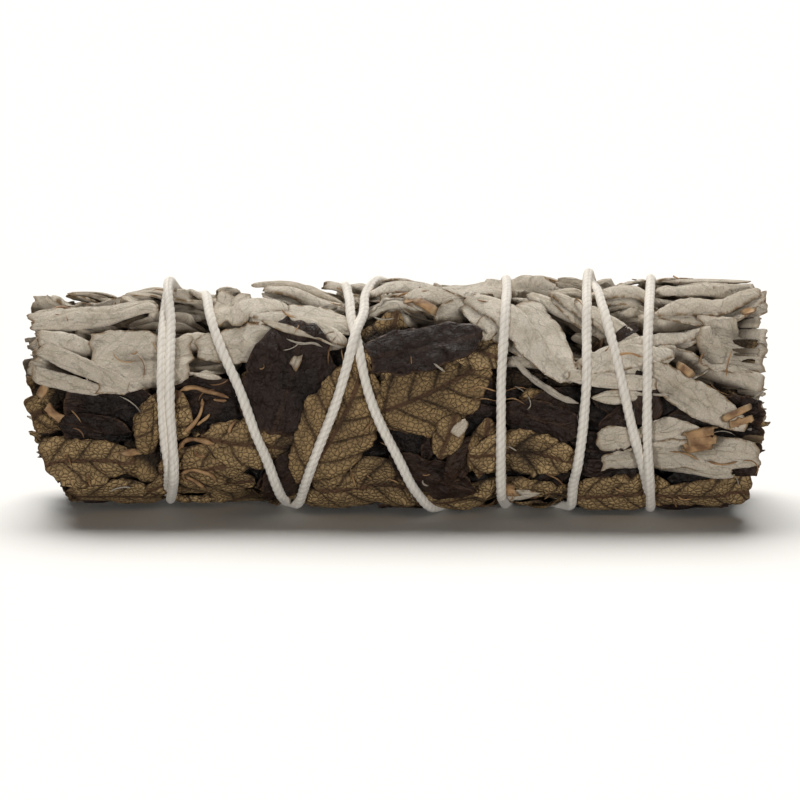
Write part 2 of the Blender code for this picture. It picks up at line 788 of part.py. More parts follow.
def tube(name, line, radii, half, sides):
    """A closed tube of this half width along part of the string's course."""
    centres = [place(x, turn, radius) for (x, turn), radius in zip(line, radii)]
    rings = []
    for i, centre in enumerate(centres):
        ahead = centres[min(i + 1, len(centres) - 1)] - centres[max(i - 1, 0)]
        outward = (centre - Vector((centre.x, 0, AXIS_HEIGHT))).normalized()
        sideways = ahead.cross(outward).normalized()
        upward = sideways.cross(ahead).normalized()
        ring = []
        for k in range(sides):
            angle = 2 * math.pi * (k + 0.5) / sides
            ring.append(centre + half * (math.cos(angle) * upward + math.sin(angle) * sideways))
        rings.append(ring)
    return lofted(name, rings)


def groove_cutters(line, radii, sunk):
    """Tubes a little wider than the string, along each run of it that is drawn into the leaves."""
    made, run = [], []
    near = {k for i in sunk for k in (i - 1, i, i + 1)} & set(range(len(line)))
    for i in range(len(line) + 1):
        if i in near:
            run.append(i)
        elif run:
            part = slice(run[0], run[-1] + 1)
            half = STRING_DIAMETER / 2 + GROOVE_GAP
            made.append(tube("groove", line[part], radii[part], half, STRING_SIDES))
            run = []
    return made


def binding_string(line, radii):
    """The string, in two runs that meet in its knot at the back."""
    half = STRING_DIAMETER / 2
    middle = len(line) // 2
    first = tube("binding_string", line[: middle + 1], radii[: middle + 1], half, STRING_SIDES)
    second = tube("run", line[middle - 1 :], radii[middle - 1 :], half * 0.97, STRING_SIDES)
    reach = min(radii[:6]) + 0.45 * MM
    bpy.ops.mesh.primitive_ico_sphere_add(
        subdivisions=2, radius=KNOT_RADIUS, location=place(KNOT_X + 0.6 * MM, KNOT_TURN, reach)
    )
    knot = bpy.context.object
    knot.scale = (1.15, 0.62, 0.85)
    bpy.ops.object.transform_apply(location=True, rotation=False, scale=True)
    boolean(first, "UNION", [second, knot])
    keep_largest(first)
    first.data.shade_smooth()
    return first


def main():
    clear_scene()
    sage = material("sage_leaf", SAGE_COLOUR, 0.9)
    dark = material("dark_leaf", DARK_COLOUR, 0.6)
    stem = material("stem", STEM_COLOUR, 0.8)
    cotton = material("string", STRING_COLOUR, 0.95)
    outer = outer_sprigs()
    inner = inner_sprigs()
    trees = []
    for body in outer:
        shape = bmesh.new()
        shape.from_mesh(body.data)
        trees.append(BVHTree.FromBMesh(shape))
        shape.free()
    line = string_line()
    radii, sunk = string_radii(line, trees)
    for body in outer:
        if body.name in GROOVED:
            boolean(body, "DIFFERENCE", groove_cutters(line, radii, sunk))
            keep_largest(body)
            thin_out(body, MOST_GROOVED_FACETS)
    string = binding_string(line, radii)
    string.data.materials.append(cotton)
    for body in inner:
        body.data.materials.append(stem)
    for body in outer:
        body.data.materials.clear()
        body.data.materials.append(dark if body.name.startswith("dark") else sage)


main()
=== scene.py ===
"""The looks of the sage bunch: draped leaves, cut ends, cotton string, loose bits and the studio.

Lengths are in millimetres here, and become metres as a mesh is made. X runs along the bunch. A
place on it is an X and a turn: the angle round the axis, 0 at the front (-Y), 90 on top, 180 at
the back. The leaves are laid one after another, the lowest first. Each is a sheet that drapes over
what lies there already, so that they overlap one another as in a real bunch.
"""

import math
from typing import NamedTuple

import bpy
import numpy as np
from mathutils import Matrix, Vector


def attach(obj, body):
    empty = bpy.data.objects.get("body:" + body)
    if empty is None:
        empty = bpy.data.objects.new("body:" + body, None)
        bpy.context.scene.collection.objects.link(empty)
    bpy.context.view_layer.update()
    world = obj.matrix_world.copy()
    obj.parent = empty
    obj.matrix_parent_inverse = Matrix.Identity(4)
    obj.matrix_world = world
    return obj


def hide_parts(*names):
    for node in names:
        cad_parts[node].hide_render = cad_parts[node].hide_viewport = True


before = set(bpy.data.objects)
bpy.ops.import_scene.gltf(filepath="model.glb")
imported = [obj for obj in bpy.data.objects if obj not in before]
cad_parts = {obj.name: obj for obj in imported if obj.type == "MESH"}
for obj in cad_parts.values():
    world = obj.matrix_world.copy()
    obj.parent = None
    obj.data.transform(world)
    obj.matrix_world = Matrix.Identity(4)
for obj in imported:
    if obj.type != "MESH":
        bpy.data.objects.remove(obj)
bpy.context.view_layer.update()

MM = 0.001

# The camera, and how places read off the photograph turn into places on the bunch.
CAMERA_ELEVATION = 10.0
CAMERA_DISTANCE = 600.0
VIEW_WIDTH = 108.8
AIM = (0.6, 0.0, 14.5)
SENSOR_WIDTH = 36
SEEN_RADIUS = 16.0
PIXELS_PER_MM = 7.35
PICTURE_MIDDLE = 395.5
AXIS_IN_PICTURE = ((60, 400, 740), (392, 398, 390))

# The bunch: its axis, its radius along X, and how far each end reaches at each turn as seen.
AXIS_HEIGHT = 15.0
RADIUS_ALONG_X = (
    (-50, 13.1), (-40, 13.5), (-28, 14.3), (-10, 15.1), (12, 15.9), (32, 15.5), (50, 15.1),
)
LEFT_REACH = (
    (-180, 48.0), (-130, 47.5), (-95, 43.5), (-75, 42.5), (-62, 44.6), (-45, 46.6), (-25, 48.4),
    (0, 48.9), (25, 49.4), (45, 49.3), (60, 49.2), (75, 48.9), (95, 48.2), (130, 48.6), (180, 48.0),
)
RIGHT_REACH = (
    (-180, 49.0), (-130, 48.4), (-95, 44.5), (-75, 45.4), (-60, 47.0), (-40, 48.0), (-10, 48.9),
    (20, 49.3), (40, 49.6), (55, 49.2), (70, 49.9), (90, 48.4), (130, 49.3), (180, 49.0),
)
MEAN_RADIUS = 15.0
BED_DEPTH = 5.6
CORE_MARGIN = 1.5
MEAN_DEPTH = -0.8
SOFT_LIMIT = 0.05
SOFT_REACH = 0.75
FLOOR_SOFTNESS = 1.3

# The cells of X and turn that hold the height of what is laid.
CELL = 0.3
X_REACH = 54.0
TURN_CELLS = 340

# The string: its size, its twist, and its course as (turn, X), the turn falling from end to end.
STRING_RADIUS = 0.65
STRING_PITCH = 3.2
STRING_PRESS = 0.40
STRING_REACH = 1.3
STRING_WINDOW = 3.6
STRING_GIRTH = 15.8
STRING_STEP = 0.3
STRING_LAP = 60
STRING_COURSE = (
    (196, -37.5), (187, -34.6), (180, -31.2), (90, -30.8), (45, -31.7), (0, -31.9), (-25, -31.5),
    (-45, -31.0), (-90, -31.2),
    (-180, -30.0), (-270, -26.1), (-315, -25.0), (-360, -21.0), (-405, -16.8), (-450, -14.1),
    (-540, -10.5), (-630, -6.7), (-675, -5.9), (-720, -3.5), (-765, 1.7), (-810, 6.9),
    (-900, 11.5), (-990, 15.0), (-1080, 14.4), (-1170, 15.0), (-1260, 20.5), (-1350, 26.2),
    (-1395, 28.4), (-1440, 31.2), (-1485, 33.9), (-1530, 34.9), (-1620, 35.6), (-1710, 34.7),
    (-1800, 34.2), (-1890, 34.4), (-1980, 31.0), (-2070, 26.3), (-2160, 25.9), (-2205, 24.4),
    (-2250, 22.1), (-2340, 10.0), (-2430, -2.7), (-2475, -4.6), (-2520, -7.8), (-2565, -11.9),
    (-2610, -14.4), (-2700, -22.5), (-2790, -30.2), (-2835, -30.6), (-2880, -30.8),
    (-2905, -30.4), (-2925, -30.2), (-2970, -30.6), (-3060, -31.0), (-3068, -28.6), (-3077, -25.6),
)
KNOT = (180.0, -31.0)
FUZZ_HAIRS = 900
TUFT_HAIRS = 26

SAGE, NET, DARK, STRAW = "sage", "net", "dark", "straw"
THICKNESS = {SAGE: 0.30, NET: 0.24, DARK: 0.24, STRAW: 0.35}
LUMPS = {SAGE: 0.7, NET: 0.9, DARK: 1.1, STRAW: 0.5}
STIFFNESS = {"flat": 1.5, "cup": 1.3, "pleat": 0.9, "roll": 1.6, "fold": 1.3, "twist": 1.6}
RIB_SPACING = 3.7


class Leaf(NamedTuple):
    """A leaf: its sprig, X and turn of its middle, length, width, the slant of its rib in degrees,
    its skin and form, the shares of a whole leaf at which it begins and ends, a sideways bow, how
    far its two ends lift, how far one long edge stands up, and how far its edges curl."""

    sprig: str
    x: float
    turn: float
    length: float
    width: float
    slant: float
    skin: str = SAGE
    form: str = "flat"
    begin: float = 0.0
    end: float = 1.0
    bow: float = 0.0
    lift: tuple = (0.0, 0.0)
    stand: float = 0.0
    curl: float = 0.15


# The leaves that the photograph shows, from the lowest to the topmost.
FRONT_LEAVES = (
    Leaf("dark_5", -25.0, -5, 13, 9, -6, DARK),
    Leaf("dark_4", -37.7, -72, 13, 8, 0, NET),
    Leaf("dark_4", -26.5, -58, 14, 9, 8, NET),
    Leaf("dark_5", -38.4, -6, 13, 8, -8, DARK, "cup", 0.1, 1.0, 0, (0.4, 0.0)),
    Leaf("dark_5", -41.0, -20, 10, 6, -14, DARK, "pleat"),
    Leaf("dark_5", -7.5, 24, 12, 6, 78, DARK),
    Leaf("dark_5", 1.7, -11, 14, 9, 100, DARK, "cup"),
    Leaf("dark_5", 9.0, -22, 13, 8, 40, DARK),
    Leaf("dark_5", 26.0, -12, 15, 8, -24, DARK),
    Leaf("dark_5", 34.0, -14, 12, 8, 10, DARK, "cup"),
    Leaf("dark_5", 43.5, -15, 13, 8, 0, DARK, "flat", 0.0, 0.8),
    Leaf("dark_5", 30.5, 2, 12, 7, -35, DARK, "fold"),
    Leaf("dark_4", 28.0, -32, 14, 9, -12, DARK, "pleat"),
    Leaf("dark_4", 46.5, -38, 8, 5, 0, DARK, "fold", 0.0, 0.8),
    Leaf("dark_4", -6.0, -56, 24, 11, 3, NET),
    Leaf("dark_4", 14.0, -64, 22, 9, 0, NET),
    Leaf("dark_4", 31.0, -60, 15, 8, 4, NET),
    Leaf("dark_4", 42.7, -58, 14, 6, -2, NET, "flat", 0.0, 0.85),
    Leaf("sage_2", -38.0, 40, 11, 4.5, -10, SAGE, "roll"),
    Leaf("sage_2", -30.0, 50, 12, 6, -6, SAGE, "pleat"),
    Leaf("sage_1", -26.8, 20, 11, 4.5, 0, SAGE, "pleat"),
    Leaf("sage_1", -28.3, 12, 9, 2.4, -6, SAGE, "twist"),
    Leaf("sage_1", -27.0, 31, 10, 4.0, 8, SAGE, "fold"),
    Leaf("sage_1", -13.4, 36, 14, 4.0, -20, SAGE, "fold"),
    Leaf("sage_2", -1.0, 58, 14, 6, -5, SAGE, "pleat"),
    Leaf("sage_2", 5.0, 66, 14, 5, -8, SAGE, "pleat"),
    Leaf("sage_2", 8.0, 56, 14, 5, 6, SAGE, "fold"),
    Leaf("sage_2", 17.5, 66, 16, 5, -8, SAGE, "pleat"),
    Leaf("sage_2", 33.0, 50, 14, 6, 0, SAGE, "pleat"),
    Leaf("sage_1", 30.4, 30, 12, 3.6, -15, SAGE, "roll"),
    Leaf("sage_1", 45.0, 9, 10, 4.0, -15, SAGE, "fold", 0.0, 0.8),
    Leaf("sage_1", 29.5, 8, 12, 3.4, -6, SAGE, "roll"),
    Leaf("sage_1", 32.0, 0, 10, 2.6, 2, SAGE, "twist"),
    Leaf("sage_1", -45.0, 8, 9, 3.4, -14, SAGE, "roll", 0.3, 1.0),
    Leaf("sage_1", -43.0, 33, 13, 3.6, -4, SAGE, "roll", 0.25, 1.0),
    Leaf("sage_1", -42.6, 25, 13, 3.8, -12, SAGE, "fold", 0.25, 1.0),
    Leaf("sage_1", -42.4, 16, 13, 3.8, -24, SAGE, "roll", 0.25, 1.0),
    Leaf("sage_1", -21.4, 30, 11, 5.5, -2, SAGE, "flat", 0.15, 0.9, 0, (0, 0.3)),
    Leaf("sage_2", -19.5, 47, 10, 4.5, 0, SAGE, "fold", 0.1, 1.0),
    Leaf("sage_2", -12.5, 60, 15, 3.6, 5, SAGE, "pleat"),
    Leaf("dark_5", -31.8, -15, 10, 7.5, 62, NET, "flat", 0, 1, 0, (0, 0), 0, 0.5),
    Leaf("dark_5", -33.5, -18, 8, 3.0, 84, NET, "fold"),
    Leaf("dark_4", -42.2, -42, 13, 8.5, 8, NET, "flat", 0.25, 1.0),
    Leaf("dark_4", -26.5, -42, 12, 7, 10, NET),
    Leaf("dark_5", -17.3, -28, 18, 8.5, -5, NET, "flat", 0, 1, 0.5),
    Leaf("dark_4", -14.5, -47, 11, 6, 60, DARK),
    Leaf("dark_5", -1.6, 28, 10, 8.5, 70, NET, "flat", 0, 1, 0, (0, 0), 0, 0.5),
    Leaf("dark_5", -2.4, 19, 7, 4.5, 18, NET, "fold"),
    Leaf("dark_5", 4.6, 3, 18, 11.5, 27, NET, "flat", 0, 1, 0.8),
    Leaf("dark_5", 10.5, 25, 10, 5.8, -22, NET, "flat", 0, 1, 0, (0, 0.3), 0.5, 0.6),
    Leaf("dark_5", 19.8, -12, 12, 5.5, -15, DARK),
    Leaf("dark_4", 5.0, -44, 12, 6.5, -24, DARK),
    Leaf("dark_5", 9.2, -33, 8, 3.2, 62, DARK, "fold"),
    Leaf("dark_5", 7.1, -20, 6.5, 4.4, 70, NET),
    Leaf("dark_4", 12.1, -28, 9, 4.6, 84, NET),
    Leaf("sage_2", 9.7, 48, 9, 4.5, 10, SAGE, "cup"),
    Leaf("sage_1", 12.4, 36, 5, 3.2, 76, SAGE),
    Leaf("sage_2", 21.0, 54, 15, 3.0, -38, SAGE, "fold"),
    Leaf("sage_2", 24.0, 48, 15, 3.0, -40, SAGE, "roll"),
    Leaf("sage_2", 26.5, 42, 14, 3.0, -42, SAGE, "fold"),
    Leaf("sage_1", 29.5, 38, 12, 2.8, -38, SAGE, "roll"),
    Leaf("sage_2", 28.0, 66, 14, 3.0, 0, SAGE, "roll"),
    Leaf("sage_2", 32.5, 61, 14, 3.0, 6, SAGE, "fold"),
    Leaf("sage_2", 31.0, 72, 13, 3.0, -4, SAGE, "twist"),
    Leaf("sage_1", 38.0, 36, 9, 6.5, 0, SAGE, "flat", 0.2, 0.9, 0, (0.4, 0)),
    Leaf("dark_5", 31.5, 33, 4.4, 1.6, 30, DARK, "cup"),
    Leaf("sage_1", 34.8, 26, 17, 2.4, 16, SAGE, "fold"),
    Leaf("sage_1", 38.0, 17, 9, 5.0, -6, SAGE, "cup"),
    Leaf("sage_1", 31.4, 15, 12, 5.0, 10, SAGE, "fold", 0.1, 1.0),
    Leaf("sage_6", 30.4, -21, 6, 3.6, 8, SAGE, "flat", 0.2, 1.0),
    Leaf("sage_6", 37.0, -19, 9, 4.2, 6, SAGE),
    Leaf("sage_6", 40.0, -41, 12, 3.6, 2, SAGE, "roll"),
    Leaf("sage_2", -41.2, 53, 17, 5.0, 10, SAGE, "roll", 0.28, 1.0, 0, (0, 0.3)),
    Leaf("sage_1", -34.6, 22, 13, 9.5, 5, SAGE, "flat", 0.34, 0.82, 0, (0.3, 0)),
    Leaf("sage_2", -22.3, 60, 8.5, 5.6, 86, SAGE, "flat", 0.28, 0.8, 0, (0, 0.9), 0.5),
    Leaf("sage_2", -11.0, 43, 12, 6.0, 5, SAGE, "flat", 0.1, 0.9),
    Leaf("sage_2", 1.2, 72, 9, 4.6, 0, SAGE, "fold"),
    Leaf("sage_2", 10.4, 73, 10, 6.2, 2, SAGE, "flat", 0.2, 0.9),
    Leaf("dark_5", -14.5, 10, 16, 12.5, 76, DARK, "flat", 0.1, 0.97, 0.6, (0, 0.2), 0, 0.3),
    Leaf("sage_1", -13.3, 33, 10, 1.4, -22, SAGE, "twist"),
    Leaf("sage_1", -13.6, 18, 1.7, 1.3, 65, SAGE, "cup", 0.3, 0.85),
    Leaf("dark_5", -8.2, -17, 20, 10.5, 64, NET, "flat", 0, 1, 0.8),
    Leaf("dark_5", 4.2, 25, 16, 6.5, 12, DARK, "flat", 0.1, 1.0, 0, (0, 0.3), 0.8),
    Leaf("dark_5", 17.4, -32, 15, 8, -6, NET, "flat", 0, 1, 0, (0, 0.4), 0, 0.4),
    Leaf("sage_1", 8.8, -15, 3.0, 1.7, 50, SAGE, "cup", 0.2, 0.95),
    Leaf("dark_4", 17.0, -56, 4.2, 2.2, 8, SAGE),
    Leaf("sage_1", 14.8, 37, 14, 5.2, -44, SAGE, "fold", 0.1, 1.0),
    Leaf("sage_1", 20.2, 28, 14, 7.2, -58, SAGE, "flat", 0.3, 1.0, 0, (0.4, 0)),
    Leaf("sage_2", 42.0, 73, 13, 3.2, 5, SAGE, "roll", 0.0, 0.85),
    Leaf("sage_2", 47.0, 66, 8, 4.6, -2, SAGE, "flat", 0.1, 0.6, 0, (0, 0.5)),
    Leaf("sage_2", 43.0, 50, 15, 4.6, 19, SAGE, "fold", 0.0, 0.9, 0.5, (0, 0.5)),
    Leaf("sage_1", 45.9, 29, 8.8, 8.0, -3, SAGE, "flat", 0.3, 0.7),
    Leaf("sage_6", 41.0, -1, 15, 4.6, -31, SAGE, "flat", 0.1, 0.95, 0.4, (0, 0.5)),
    Leaf("sage_6", 38.8, -32, 21, 5.4, 5, SAGE, "flat", 0.08, 0.86, -0.5, (0, 0.3)),
    Leaf("sage_6", 41.2, -25, 4.6, 1.7, 10, STRAW, "roll", 0.25, 0.85),
    Leaf("sage_6", 41.4, -18, 4.4, 1.6, 14, STRAW, "roll", 0.2, 0.75),
    Leaf("sage_6", 41.7, -21.5, 4.0, 1.5, 5, STRAW, "roll", 0.3, 0.8),
    Leaf("sage_6", 47.0, -12, 3.6, 1.3, 17, STRAW, "roll", 0.25, 0.75),
    Leaf("sage_6", 46.4, -8, 3.2, 1.0, 26, STRAW, "roll", 0.25, 0.75),
    Leaf("sage_1", 39.4, 13, 2.2, 0.8, -40, STRAW, "roll", 0.15, 0.85),
    Leaf("sage_1", 27.5, 27, 2.2, 1.1, 70, STRAW, "cup", 0.1, 0.9),
    Leaf("sage_2", 48.0, 47, 1.7, 1.1, 10, STRAW, "cup", 0.1, 0.9),
    Leaf("sage_2", 2.0, 53, 1.8, 1.0, 20, STRAW, "cup", 0.1, 0.9),
    Leaf("sage_2", 4.1, 49, 3.2, 1.3, -35, STRAW, "roll", 0.2, 0.8),
    Leaf("dark_4", 15.3, -52, 2.5, 2.0, 0, STRAW, "cup", 0.2, 0.8),
    Leaf("dark_4", -36.0, -33, 2.5, 1.1, 0, STRAW, "flat", 0.1, 0.9),
    Leaf("dark_5", -46.6, -9, 3.4, 1.7, -40, STRAW, "roll", 0.2, 0.8),
    Leaf("dark_5", -48.2, 3, 1.9, 1.2, 60, STRAW, "cup", 0.1, 0.9),
    Leaf("sage_1", -47.6, 34, 2.3, 1.5, 25, STRAW, "cup", 0.1, 0.9),
)

# Fibres and thin bits that lie on the leaves, by their thickness, skin, and places in the
# photograph in its pixels.
FIBRES = (
    (0.62, STRAW, (176, 390), (185, 386), (195, 384), (201, 388), (220, 393), (231, 398)),
    (0.45, STRAW, (209, 397), (221, 400), (230, 399)),
    (0.55, STRAW, (201, 394), (202, 402), (200, 412), (197, 418), (190, 425), (185, 430), (179, 431)),
    (0.40, STRAW, (210, 410), (208, 416), (200, 421), (193, 427)),
    (0.75, STRAW, (176, 451), (181, 443), (186, 438), (198, 437), (205, 438), (209, 441), (218, 441)),
    (0.50, STRAW, (194, 443), (197, 454), (201, 452), (209, 451)),
    (0.42, STRAW, (238, 419), (231, 423), (228, 430), (228, 436)),
    (0.50, STRAW, (177, 470), (186, 465), (193, 461), (203, 466), (210, 466), (215, 471), (216, 478)),
    (0.55, STRAW, (183, 469), (195, 473), (206, 482)),
    (0.85, SAGE, (510, 351), (524, 367), (541, 382), (559, 395), (582, 402)),
    (0.16, STRAW, (460, 396), (478, 385), (500, 392), (520, 384), (533, 390)),
    (0.16, STRAW, (466, 404), (484, 397), (497, 402), (514, 396), (529, 406)),
    (0.14, SAGE, (512, 382), (526, 391), (533, 404), (524, 411)),
    (0.26, STRAW, (350, 467), (352, 478), (357, 490)),
    (0.30, STRAW, (392, 300), (405, 296), (420, 300), (433, 297)),
    (0.30, SAGE, (283, 340), (300, 347), (312, 344), (326, 352)),
    (0.28, STRAW, (574, 300), (586, 311), (592, 326)),
    (0.34, STRAW, (612, 356), (628, 352), (646, 357)),
    (0.55, STRAW, (44, 301), (58, 297), (76, 300)),
    (0.30, STRAW, (704, 452), (722, 456), (741, 450)),
)

# The sectors of the outer sprigs, as (sprig, lowest turn, highest turn) seen as in the photograph.
SECTORS = (
    ("sage_1", 5, 40),
    ("sage_2", 40, 76),
    ("sage_3", 76, 112),
    ("sage_4", 112, 146),
    ("sage_5", 146, 182),
    ("dark_1", 182, 216),
    ("dark_2", 216, 250),
    ("dark_3", 250, 290),
    ("dark_4", 290, 328),
    ("dark_5", 328, 365),
)
NODE_NAMES = {
    **{f"sage_{i}": f"white_sage_sprig_{i}" for i in range(1, 7)},
    **{f"dark_{i}": f"dark_leaf_sprig_{i}" for i in range(1, 6)},
}


def eased(table, x):
    """The value at x of a table of (x, value) pairs, eased between them."""
    places = np.array([pair[0] for pair in table], float)
    values = np.array([pair[1] for pair in table], float)
    share = np.interp(x, places, np.arange(len(table)))
    low = np.clip(np.floor(share).astype(int), 0, len(table) - 2)
    share = share - low
    return values[low] + (values[low + 1] - values[low]) * share * share * (3 - 2 * share)


def bunch_radius(x):
    return eased(RADIUS_ALONG_X, x)


def end_reach(side, turn):
    """How far the bunch reaches on this side at this true turn."""
    seen = (np.asarray(turn, float) - CAMERA_ELEVATION + 180) % 360 - 180
    return eased(LEFT_REACH if side < 0 else RIGHT_REACH, seen)


def seen_place(x, turn):
    """The X and turn of what the photograph shows there: the camera stands a little above, and
    what is nearer to it looks further from the middle of the picture."""
    nearer = SEEN_RADIUS * math.cos(math.radians(turn)) / CAMERA_DISTANCE
    return AIM[0] + (x - AIM[0]) * (1 - nearer), turn + CAMERA_ELEVATION


def place(x, turn, radius):
    """Points at these Xs, turns in degrees and distances from the axis."""
    angle = np.radians(turn)
    y = -radius * np.cos(angle)
    z = AXIS_HEIGHT + radius * np.sin(angle)
    return np.stack(np.broadcast_arrays(x, y, z), axis=-1)


def lattice(seed):
    return np.random.default_rng(seed).random((64, 64))


LATTICES = [lattice(seed) for seed in range(12)]


def blend(table, i0, i1, j0, j1, a, b):
    """Values between four cells of a table, at these shares of the way from one to the next."""
    low = table[i0, j0] * (1 - a) + table[i1, j0] * a
    high = table[i0, j1] * (1 - a) + table[i1, j1] * a
    return low * (1 - b) + high * b


def noise(x, y, seed=0):
    """Smooth noise from 0 to 1, one lump for each unit of x and y."""
    table = LATTICES[seed % len(LATTICES)]
    x = np.asarray(x, float) + 17.3 * seed
    y = np.asarray(y, float) + 9.1 * seed
    i, j = np.floor(x).astype(int), np.floor(y).astype(int)
    a, b = x - i, y - j
    a, b = a * a * (3 - 2 * a), b * b * (3 - 2 * b)
    return blend(table, i & 63, (i + 1) & 63, j & 63, (j + 1) & 63, a, b)


def crumple(x, y, seed):
    """Noise in three sizes, from -0.5 to 0.5."""
    wide = noise(x, y, seed)
    middle = noise(2.1 * x, 2.1 * y, seed + 1)
    fine = noise(4.3 * x, 4.3 * y, seed + 2)
    return (wide + 0.5 * middle + 0.25 * fine) / 1.75 - 0.5


def smoothing(count, width):
    """A matrix that smooths a row of this many values over this many steps."""
    i = np.arange(count)
    weights = np.exp(-0.5 * ((i[:, None] - i[None, :]) / max(width, 0.3)) ** 2)
    return weights / weights.sum(1, keepdims=True)


def ramp(value, start, stop):
    """0 up to start, 1 from stop on, and eased between them."""
    share = np.clip((value - start) / (stop - start), 0, 1)
    return share * share * (3 - 2 * share)


def unit(vectors):
    return vectors / np.maximum(np.linalg.norm(vectors, axis=-1, keepdims=True), 1e-9)


def downward(turn):
    """How steeply the way outward at this turn points down, but at least a little."""
    return np.maximum(-np.sin(np.radians(turn)), 0.05)


def circle(sides):
    """This many angles, evenly spaced round a circle."""
    return np.linspace(0, 2 * np.pi, sides + 1)[:-1]


def running(steps):
    """How far along a line each of its points is, from the steps between them."""
    return np.concatenate([[0], np.cumsum(steps)])


def string_course():
    """The string's course as evenly spaced (x, turn) points."""
    knots = [seen_place(x, turn) for turn, x in STRING_COURSE]
    fine = []
    for a, b, c, d in zip(knots, knots[1:], knots[2:], knots[3:]):
        for share in np.linspace(0, 1, 60, endpoint=False):
            fine.append([
                0.5 * (2 * b[k] + (c[k] - a[k]) * share
                       + (2 * a[k] - 5 * b[k] + 4 * c[k] - d[k]) * share**2
                       + (3 * b[k] - a[k] - 3 * c[k] + d[k]) * share**3)
                for k in (0, 1)
            ])
    fine = np.array(fine)
    step = np.hypot(np.diff(fine[:, 0]), np.radians(np.diff(fine[:, 1])) * STRING_GIRTH)
    run = running(step)
    even = np.arange(0, run[-1], STRING_STEP)
    return np.stack([np.interp(even, run, fine[:, 0]), np.interp(even, run, fine[:, 1])], axis=1)


class Ground:
    """What has been laid so far, as a height over every cell of X and turn, and where the string
    will press it down."""

    def __init__(self, course):
        self.rows = round(2 * X_REACH / CELL)
        x = -X_REACH + CELL * np.arange(self.rows)
        turn = 360 / TURN_CELLS * np.arange(TURN_CELLS)
        lumps = crumple(x[:, None] / 4, turn[None, :] / 12, 3)
        self.height = bunch_radius(x)[:, None] - BED_DEPTH + 1.2 * lumps
        self.bed = self.height.copy()
        self.wide = self.height.copy()
        self.near = np.zeros_like(self.height)
        reach = round(STRING_WINDOW / CELL)
        side = np.arange(-reach, reach + 1)
        for along, around in course:
            i = round((along + X_REACH) / CELL)
            j = round(around / 360 * TURN_CELLS)
            dx = (-X_REACH + CELL * (i + side))[:, None] - along
            dy = (CELL * (j + side) - around / 360 * TURN_CELLS * CELL)[None, :]
            press = np.exp(-(dx * dx + dy * dy) / STRING_REACH**2)
            window = np.ix_(i + side, (j + side) % TURN_CELLS)
            self.near[window] = np.maximum(self.near[window], press)

    def read(self, field, x, turn):
        i = np.clip((x + X_REACH) / CELL, 0, self.rows - 1.001)
        j = (turn / 360 * TURN_CELLS) % TURN_CELLS
        i0, j0 = np.floor(i).astype(int), np.floor(j).astype(int)
        return blend(field, i0, i0 + 1, j0 % TURN_CELLS, (j0 + 1) % TURN_CELLS, i - i0, j - j0)

    def blurred(self, width):
        """The height, smoothed over this many millimetres."""
        apart = np.arange(TURN_CELLS)
        apart = np.minimum(apart, TURN_CELLS - apart)
        weights = np.exp(-0.5 * (apart * CELL / width) ** 2)
        weights = np.array([np.roll(weights, k) for k in range(TURN_CELLS)]) / weights.sum()
        return smoothing(self.rows, width / CELL) @ self.height @ weights

    def lay(self, x, turn, radius, step):
        """Raises the ground to a sheet that now lies on it."""
        for _ in range(math.ceil(math.log2(step / 0.16))):
            x, turn, radius = (doubled(values) for values in (x, turn, radius))
        i = np.clip(np.round((x + X_REACH) / CELL).astype(int), 0, self.rows - 1)
        j = np.round(turn / 360 * TURN_CELLS).astype(int) % TURN_CELLS
        np.maximum.at(self.height, (i, j), radius)

    def settled(self, x, turn, radius):
        """The radius once the bunch is drawn together to its own girth and lies down. It keeps
        what lies higher higher: it eases what stands far out, what the floor presses flat and
        what the string presses in."""
        outer = bunch_radius(x)
        inner = outer - BED_DEPTH - CORE_MARGIN
        wide = self.read(self.wide, x, turn)
        mean = outer + MEAN_DEPTH * ramp(np.sin(np.radians(turn)), -1.2, -0.2)
        radius = inner + (radius - inner) * (mean - inner) / (wide - inner)
        limit = outer + SOFT_LIMIT
        over = np.maximum(radius - limit, 0)
        radius = np.minimum(radius, limit) + SOFT_REACH * (1 - np.exp(-over / SOFT_REACH))
        down = downward(turn)
        limit = AXIS_HEIGHT / down - FLOOR_SOFTNESS
        over = np.maximum(radius - limit, 0)
        radius = np.minimum(radius, limit) + FLOOR_SOFTNESS * (1 - np.exp(-over / FLOOR_SOFTNESS))
        press = STRING_PRESS + 0.3 * ramp(down, 0.78, 0.95)
        return radius - press * self.read(self.near, x, turn)


def doubled(values):
    """A grid with a value added halfway between its neighbours, both ways."""
    tall = np.repeat(values, 2, axis=0)[:-1]
    tall[1::2] = (values[:-1] + values[1:]) / 2
    wide = np.repeat(tall, 2, axis=1)[:, :-1]
    wide[:, 1::2] = (tall[:, :-1] + tall[:, 1:]) / 2
    return wide


# Forms of a leaf's cross-section. Each gives the sideways place and the height over the ground.
def flat_form(leaf, u, v, half, seed):
    side = np.where(v > 0, 5.3, 0.0)
    ripple = noise(u * leaf.length / 2.6, side, seed) - 0.25
    edge = leaf.curl * 2.0 * np.abs(v) ** 3 * ripple
    return half * v, 0.3 * (1 - v**2) + edge


def cup_form(leaf, u, v, half, seed):
    deep = 0.62 + 0.3 * noise(u * leaf.length / 5, v * 0, seed)
    lean = 0.35 * (noise(u * leaf.length / 6, v * 0, seed + 1) - 0.5)
    return half * np.sin(1.2 * v) / 0.932 * 0.93, np.minimum(half, 2.2) * deep * np.abs(v - lean) ** 2.1


